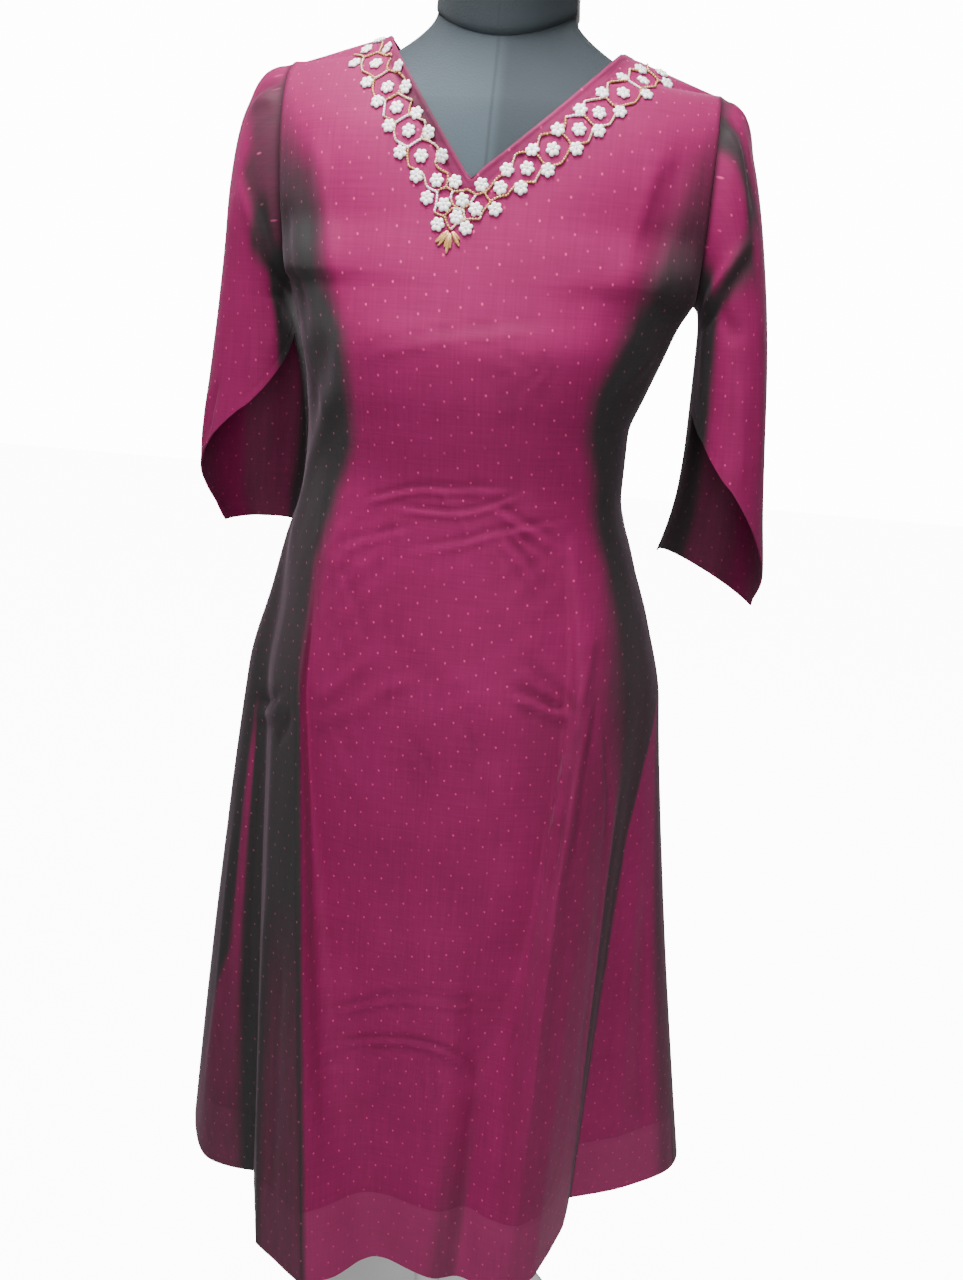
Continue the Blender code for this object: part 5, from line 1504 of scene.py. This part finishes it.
heights = np.linspace(FORM_SECTIONS[-1][0], FORM_TOP, FORM_ROWS)
rings = [form_ring(h) for h in heights]
base = rings[-1]
turn = np.arctan2(base[:, 1] / FORM_TOP_HALF_DEPTH, base[:, 0] / FORM_TOP_HALF_WIDTH)
neck = NECK_RADIUS * np.stack([np.cos(turn), np.sin(turn)], -1)
lift = np.abs(np.cos(turn)) ** 1.5
saddle = np.abs(np.cos(turn)) ** 3
for way in np.linspace(0, 1, NECK_ROWS)[1:]:
    inward = 1 - (1 - way) ** (1.35 + 1.2 * lift)
    flat = base[:, :2] * (1 - inward)[:, None] + neck * inward[:, None]
    level = FORM_TOP * (1 - way) + neck_seam(turn) * way + SHOULDER_LIFT * saddle * np.sin(np.pi * way) ** 0.8
    rings.append(np.column_stack([flat, level]))
torso_points = np.array(rings)


def tube(name, points, material, sharp=40):
    """A closed solid from a stack of rings, each end filled by a fan to its middle."""
    rows, cols = points.shape[:2]
    index = np.arange(rows * cols).reshape(rows, cols)
    index = np.column_stack([index, index[:, :1]])
    corners = [index[:-1, :-1], index[:-1, 1:], index[1:, 1:], index[1:, :-1]]
    faces = np.stack(corners, -1).reshape(-1, 4).tolist()
    verts = list(points.reshape(-1, 3))
    for row, turn_over in ((0, True), (-1, False)):
        verts.append(points[row].mean(0))
        for a, b in zip(index[row, :-1].tolist(), index[row, 1:].tolist()):
            faces.append([b, a, len(verts) - 1] if turn_over else [a, b, len(verts) - 1])
    return add_piece(name, np.array(verts), faces, material, sharp)


# %% [markdown]
# The slate cloth of the form is a matt plain weave, darker to one side of its seam, with painted shade near
# the cap. The seam down the middle is a fine groove, read from the place on the form.

# %% Form cloth
SEAM_LINE = 0.0022
RIGHT_OF_SEAM_DARK = (0.008, 0.012, 0.016)
# Painted shade near the neck cap.
CAP_SHADE = (0.010, 0.015, 0.019)
SEAM_DARK = (0.010, 0.013, 0.016)


def form_finish(name, dark, light, grain, seam_depth, right_darkening_and_cap_shade):
    """Fine noise for the weave, a soft mottle, a dark line at x = 0 for the seam, a darker tone to one side
    of it, and painted shade near the cap."""
    material, tree, shader = new_material(name)
    split = add_node(tree, "ShaderNodeSeparateXYZ")
    tree.links.new(object_place(tree), split.inputs[0])
    across, _, height = split.outputs
    weave = object_noise(tree, grain, 2.0)
    cloud = object_noise(tree, 26.0, 5.0)
    seam = ramp(tree, maths(tree, "ABSOLUTE", across), SEAM_LINE, 0.0002)
    share = maths(tree, "MULTIPLY_ADD", weave, 0.5, maths(tree, "MULTIPLY", cloud, 0.5))
    right_of_seam_darker = ramp(tree, across, -0.001, 0.010, right_darkening_and_cap_shade)
    # Painted shade: the cloth darkens toward the neck cap.
    painted_cap_shade = ramp(tree, height, SHOULDER_TOP - 0.045, SHOULDER_TOP + 0.028, right_darkening_and_cap_shade * 1.5)
    right_darkened = blend(tree, right_of_seam_darker, blend(tree, share, dark, light), RIGHT_OF_SEAM_DARK)
    lined = blend(tree, maths(tree, "MULTIPLY", seam, seam_depth), blend(tree, painted_cap_shade, right_darkened, CAP_SHADE),
                  SEAM_DARK)
    wire(tree, shader, lined, maths(tree, "MULTIPLY_ADD", weave, 0.18, 0.68),
         {"Sheen Weight": 0.06, "Sheen Roughness": 0.6, "Specular IOR Level": 0.25},
         maths(tree, "SUBTRACT", weave, seam), 0.35, 0.0006)
    return material


SLATE = form_finish("slate cloth", (0.032, 0.047, 0.058), (0.050, 0.070, 0.084), 620.0, 0.45, 0.60)
CAP = form_finish("neck cap cloth", (0.0045, 0.0085, 0.0115), (0.012, 0.019, 0.024), 700.0, 0.0, 0.0)
torso = tube("form_body", torso_points, SLATE)

# %% Neck cap
seam_line = rings[-1]
seam_turn = np.arctan2(seam_line[:, 1], seam_line[:, 0])
cap_rings = [seam_line + [0, 0, SEAM_GAP]]
CAP_PROFILE = [
    # part of the way up, radius added
    (0.02, 0.0007), (0.06, 0.0009), (0.12, 0.0006), (0.25, 0.0), (0.5, 0.0), (0.75, 0.0), (0.90, 0.0),
    (0.945, -0.0012), (0.975, -0.0040), (0.992, -0.0090), (1.0, -0.0160),
]
for way, added in CAP_PROFILE:
    level = cap_rings[0][:, 2] * (1 - way) + NECK_TOP * way
    radius = NECK_RADIUS + added
    cap_rings.append(np.column_stack([radius * np.cos(seam_turn), radius * np.sin(seam_turn), level]))
cap = tube("neck_cap", np.array(cap_rings), CAP)

# %% [markdown]
# The pole and the round base are metal painted white, turned on a lathe: a profile of radius and
# height carried round the axis. They are mostly hidden, and plain.


# %% Pole and base
def lathe(profile, segments=112):
    """Each (radius, height) pair carried round the axis."""
    turn = np.arange(segments) * 2 * np.pi / segments
    return np.array([np.stack([r * np.cos(turn), r * np.sin(turn), h + 0 * turn], -1) for r, h in profile])


def metal_finish(name, colour):
    """Satin paint with fine orange peel and a few dull patches."""
    material, tree, shader = new_material(name)
    dull = object_noise(tree, 14.0, 4.0)
    wire(tree, shader, blend(tree, dull, colour, tuple(1.15 * c for c in colour)),
         maths(tree, "MULTIPLY_ADD", dull, 0.25, 0.22), None, object_noise(tree, 420.0, 2.0), 0.15, 0.0004)
    return material


WHITE_PAINT = metal_finish("satin white paint", (0.60, 0.60, 0.60))
POLE_RADIUS, BASE_RADIUS, BASE_HEIGHT = 0.015, 0.190, 0.022
pole = tube("stand_pole", lathe([(POLE_RADIUS, 0.0603), (POLE_RADIUS, 0.45), (POLE_RADIUS, 0.8347)], 64),
            WHITE_PAINT)
BASE_PROFILE = [(BASE_RADIUS - 0.0022, 0.0), (BASE_RADIUS - 0.0006, 0.0008), (BASE_RADIUS, 0.0024),
                (BASE_RADIUS, BASE_HEIGHT - 0.0062), (BASE_RADIUS - 0.0010, BASE_HEIGHT - 0.0030),
                (BASE_RADIUS - 0.0034, BASE_HEIGHT - 0.0010), (BASE_RADIUS - 0.0070, BASE_HEIGHT),
                (0.110, 0.0254), (0.040, 0.0292), (0.032, 0.0314), (0.026, 0.0362), (0.0235, 0.0440),
                (0.0220, 0.0580), (0.0212, 0.0600)]
stand = tube("stand_base", lathe(BASE_PROFILE), WHITE_PAINT)

# %% [markdown]
# Every piece rides on the one body, and each piece made for a solid stands for it while the solid is hidden.

# %% Riding and replacing
for piece, node, slot in (
        (front, "kurta_front", "silk"), (back, "kurta_back", "silk"),
        (sleeve_right, "sleeve_right_view", "silk"), (sleeve_left, "sleeve_left_view", "silk"),
        (torso, "form_torso", "form_cloth"), (cap, "neck_stub", "neck_cap"),
        (pole, "pole", "stand_metal"), (stand, "base", "stand_metal")):
    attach(piece, "root")
    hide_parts(node)
beads = [petal_piece, eye_piece, *line_pieces, leaf_piece]
for piece, slot in zip(beads, ("bead_white", "bead_white", "bead_gold", "bead_gold", "bead_white",
                               "bead_gold")):
    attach(piece, "root")

# %% [markdown]
# The set is a plain pale floor and soft light from above and in front, as in a shop. The camera
# stands close, a little to one side and above the bust, and looks down, as a telephone does.

# %% Floor
bpy.ops.mesh.primitive_plane_add(size=14, location=(0, 0, -0.0005))
floor = bpy.context.object
floor.name = "floor"
floor_finish, tree, shader = new_material("pale floor")
floor_view = add_node(tree, "ShaderNodeLightPath").outputs["Is Camera Ray"]
wire(tree, shader, blend(tree, object_noise(tree, 3.0, 3.0), (0.86, 0.86, 0.86), (0.90, 0.90, 0.90)), 0.7,
     {"Emission Strength": maths(tree, "MULTIPLY", floor_view, 12.0), "Emission Color": (1.0, 1.0, 1.0)})
floor.data.materials.append(floor_finish)


# %% Lights
LAMPS = [
    # name, place, target, size, watts, spread in degrees
    ("ceiling_front", (-0.10, -0.72, 2.20), (-0.03, -0.05, 1.52), 0.6, 1.5, 52.0),
    ("ceiling_top", (-0.14, -0.24, 2.05), (-0.03, -0.08, 1.45), 0.4, 2.1, 46.0),
    ("front_fill", (0.3, -2.8, 0.80), (0.0, 0.0, 0.58), 1.4, 11.0, 90.0),
    ("back_fill", (0.4, 2.4, 2.2), (0.0, 0.0, 1.0), 1.6, 46.0, 180.0),
]
ROOM_LIGHT = 0.22
ROOM_SEEN = 14.0


def turned_axes(right, up, back):
    """A 4 by 4 matrix from three axes."""
    return Matrix(np.column_stack([right, up, back]).tolist()).to_4x4()


for name, place, target, size, power, spread in LAMPS:
    lamp = bpy.data.lights.new(name, "AREA")
    lamp.energy, lamp.size, lamp.spread = power, size, np.radians(spread)
    holder = bpy.data.objects.new(name, lamp)
    back_axis = unit(np.array(place, float) - np.array(target, float))
    right_axis = unit(np.cross([0.0, 0.0, 1.0], back_axis))
    up_axis = np.cross(back_axis, right_axis)
    holder.matrix_world = Matrix.Translation(place) @ turned_axes(right_axis, up_axis, back_axis)
    bpy.context.scene.collection.objects.link(holder)
world = bpy.data.worlds.new("pale room")
world.use_nodes = True
tree = world.node_tree
room = tree.nodes["Background"]
room_view = add_node(tree, "ShaderNodeLightPath").outputs["Is Camera Ray"]
feed(tree, room.inputs["Color"], (1.0, 1.0, 1.0))
feed(tree, room.inputs["Strength"], maths(tree, "MULTIPLY_ADD", room_view, ROOM_SEEN, ROOM_LIGHT))
bpy.context.scene.world = world

# %% Camera
CAMERA_REACH = 0.87
CAMERA_SIDE = np.radians(7.0)
CAMERA_HEIGHT = 1.247
CAMERA_HEADING = np.radians(6.205)
CAMERA_PITCH = np.radians(18.1)
CAMERA_ROLL = np.radians(4.0)
FOCAL_PIXELS = 962.0
FRAME_HEIGHT = 1280.0
SENSOR = 36.0
spot = (CAMERA_REACH * np.sin(CAMERA_SIDE), -CAMERA_REACH * np.cos(CAMERA_SIDE), CAMERA_HEIGHT)
ahead = np.array([-np.sin(CAMERA_HEADING) * np.cos(CAMERA_PITCH),
                  np.cos(CAMERA_HEADING) * np.cos(CAMERA_PITCH), -np.sin(CAMERA_PITCH)])
level_right = np.array([np.cos(CAMERA_HEADING), np.sin(CAMERA_HEADING), 0.0])
level_up = np.cross(level_right, ahead)
right_axis = level_right * np.cos(CAMERA_ROLL) + level_up * np.sin(CAMERA_ROLL)
up_axis = -level_right * np.sin(CAMERA_ROLL) + level_up * np.cos(CAMERA_ROLL)
lens = bpy.data.cameras.new("camera")
lens.sensor_width = SENSOR
lens.lens = FOCAL_PIXELS / FRAME_HEIGHT * SENSOR
lens.clip_start = 0.02
camera = bpy.data.objects.new("camera", lens)
camera.matrix_world = Matrix.Translation(spot) @ turned_axes(right_axis, up_axis, -ahead)
bpy.context.scene.collection.objects.link(camera)
bpy.context.scene.camera = camera
print("lens", round(lens.lens, 2), "mm at", [round(float(c), 3) for c in spot])
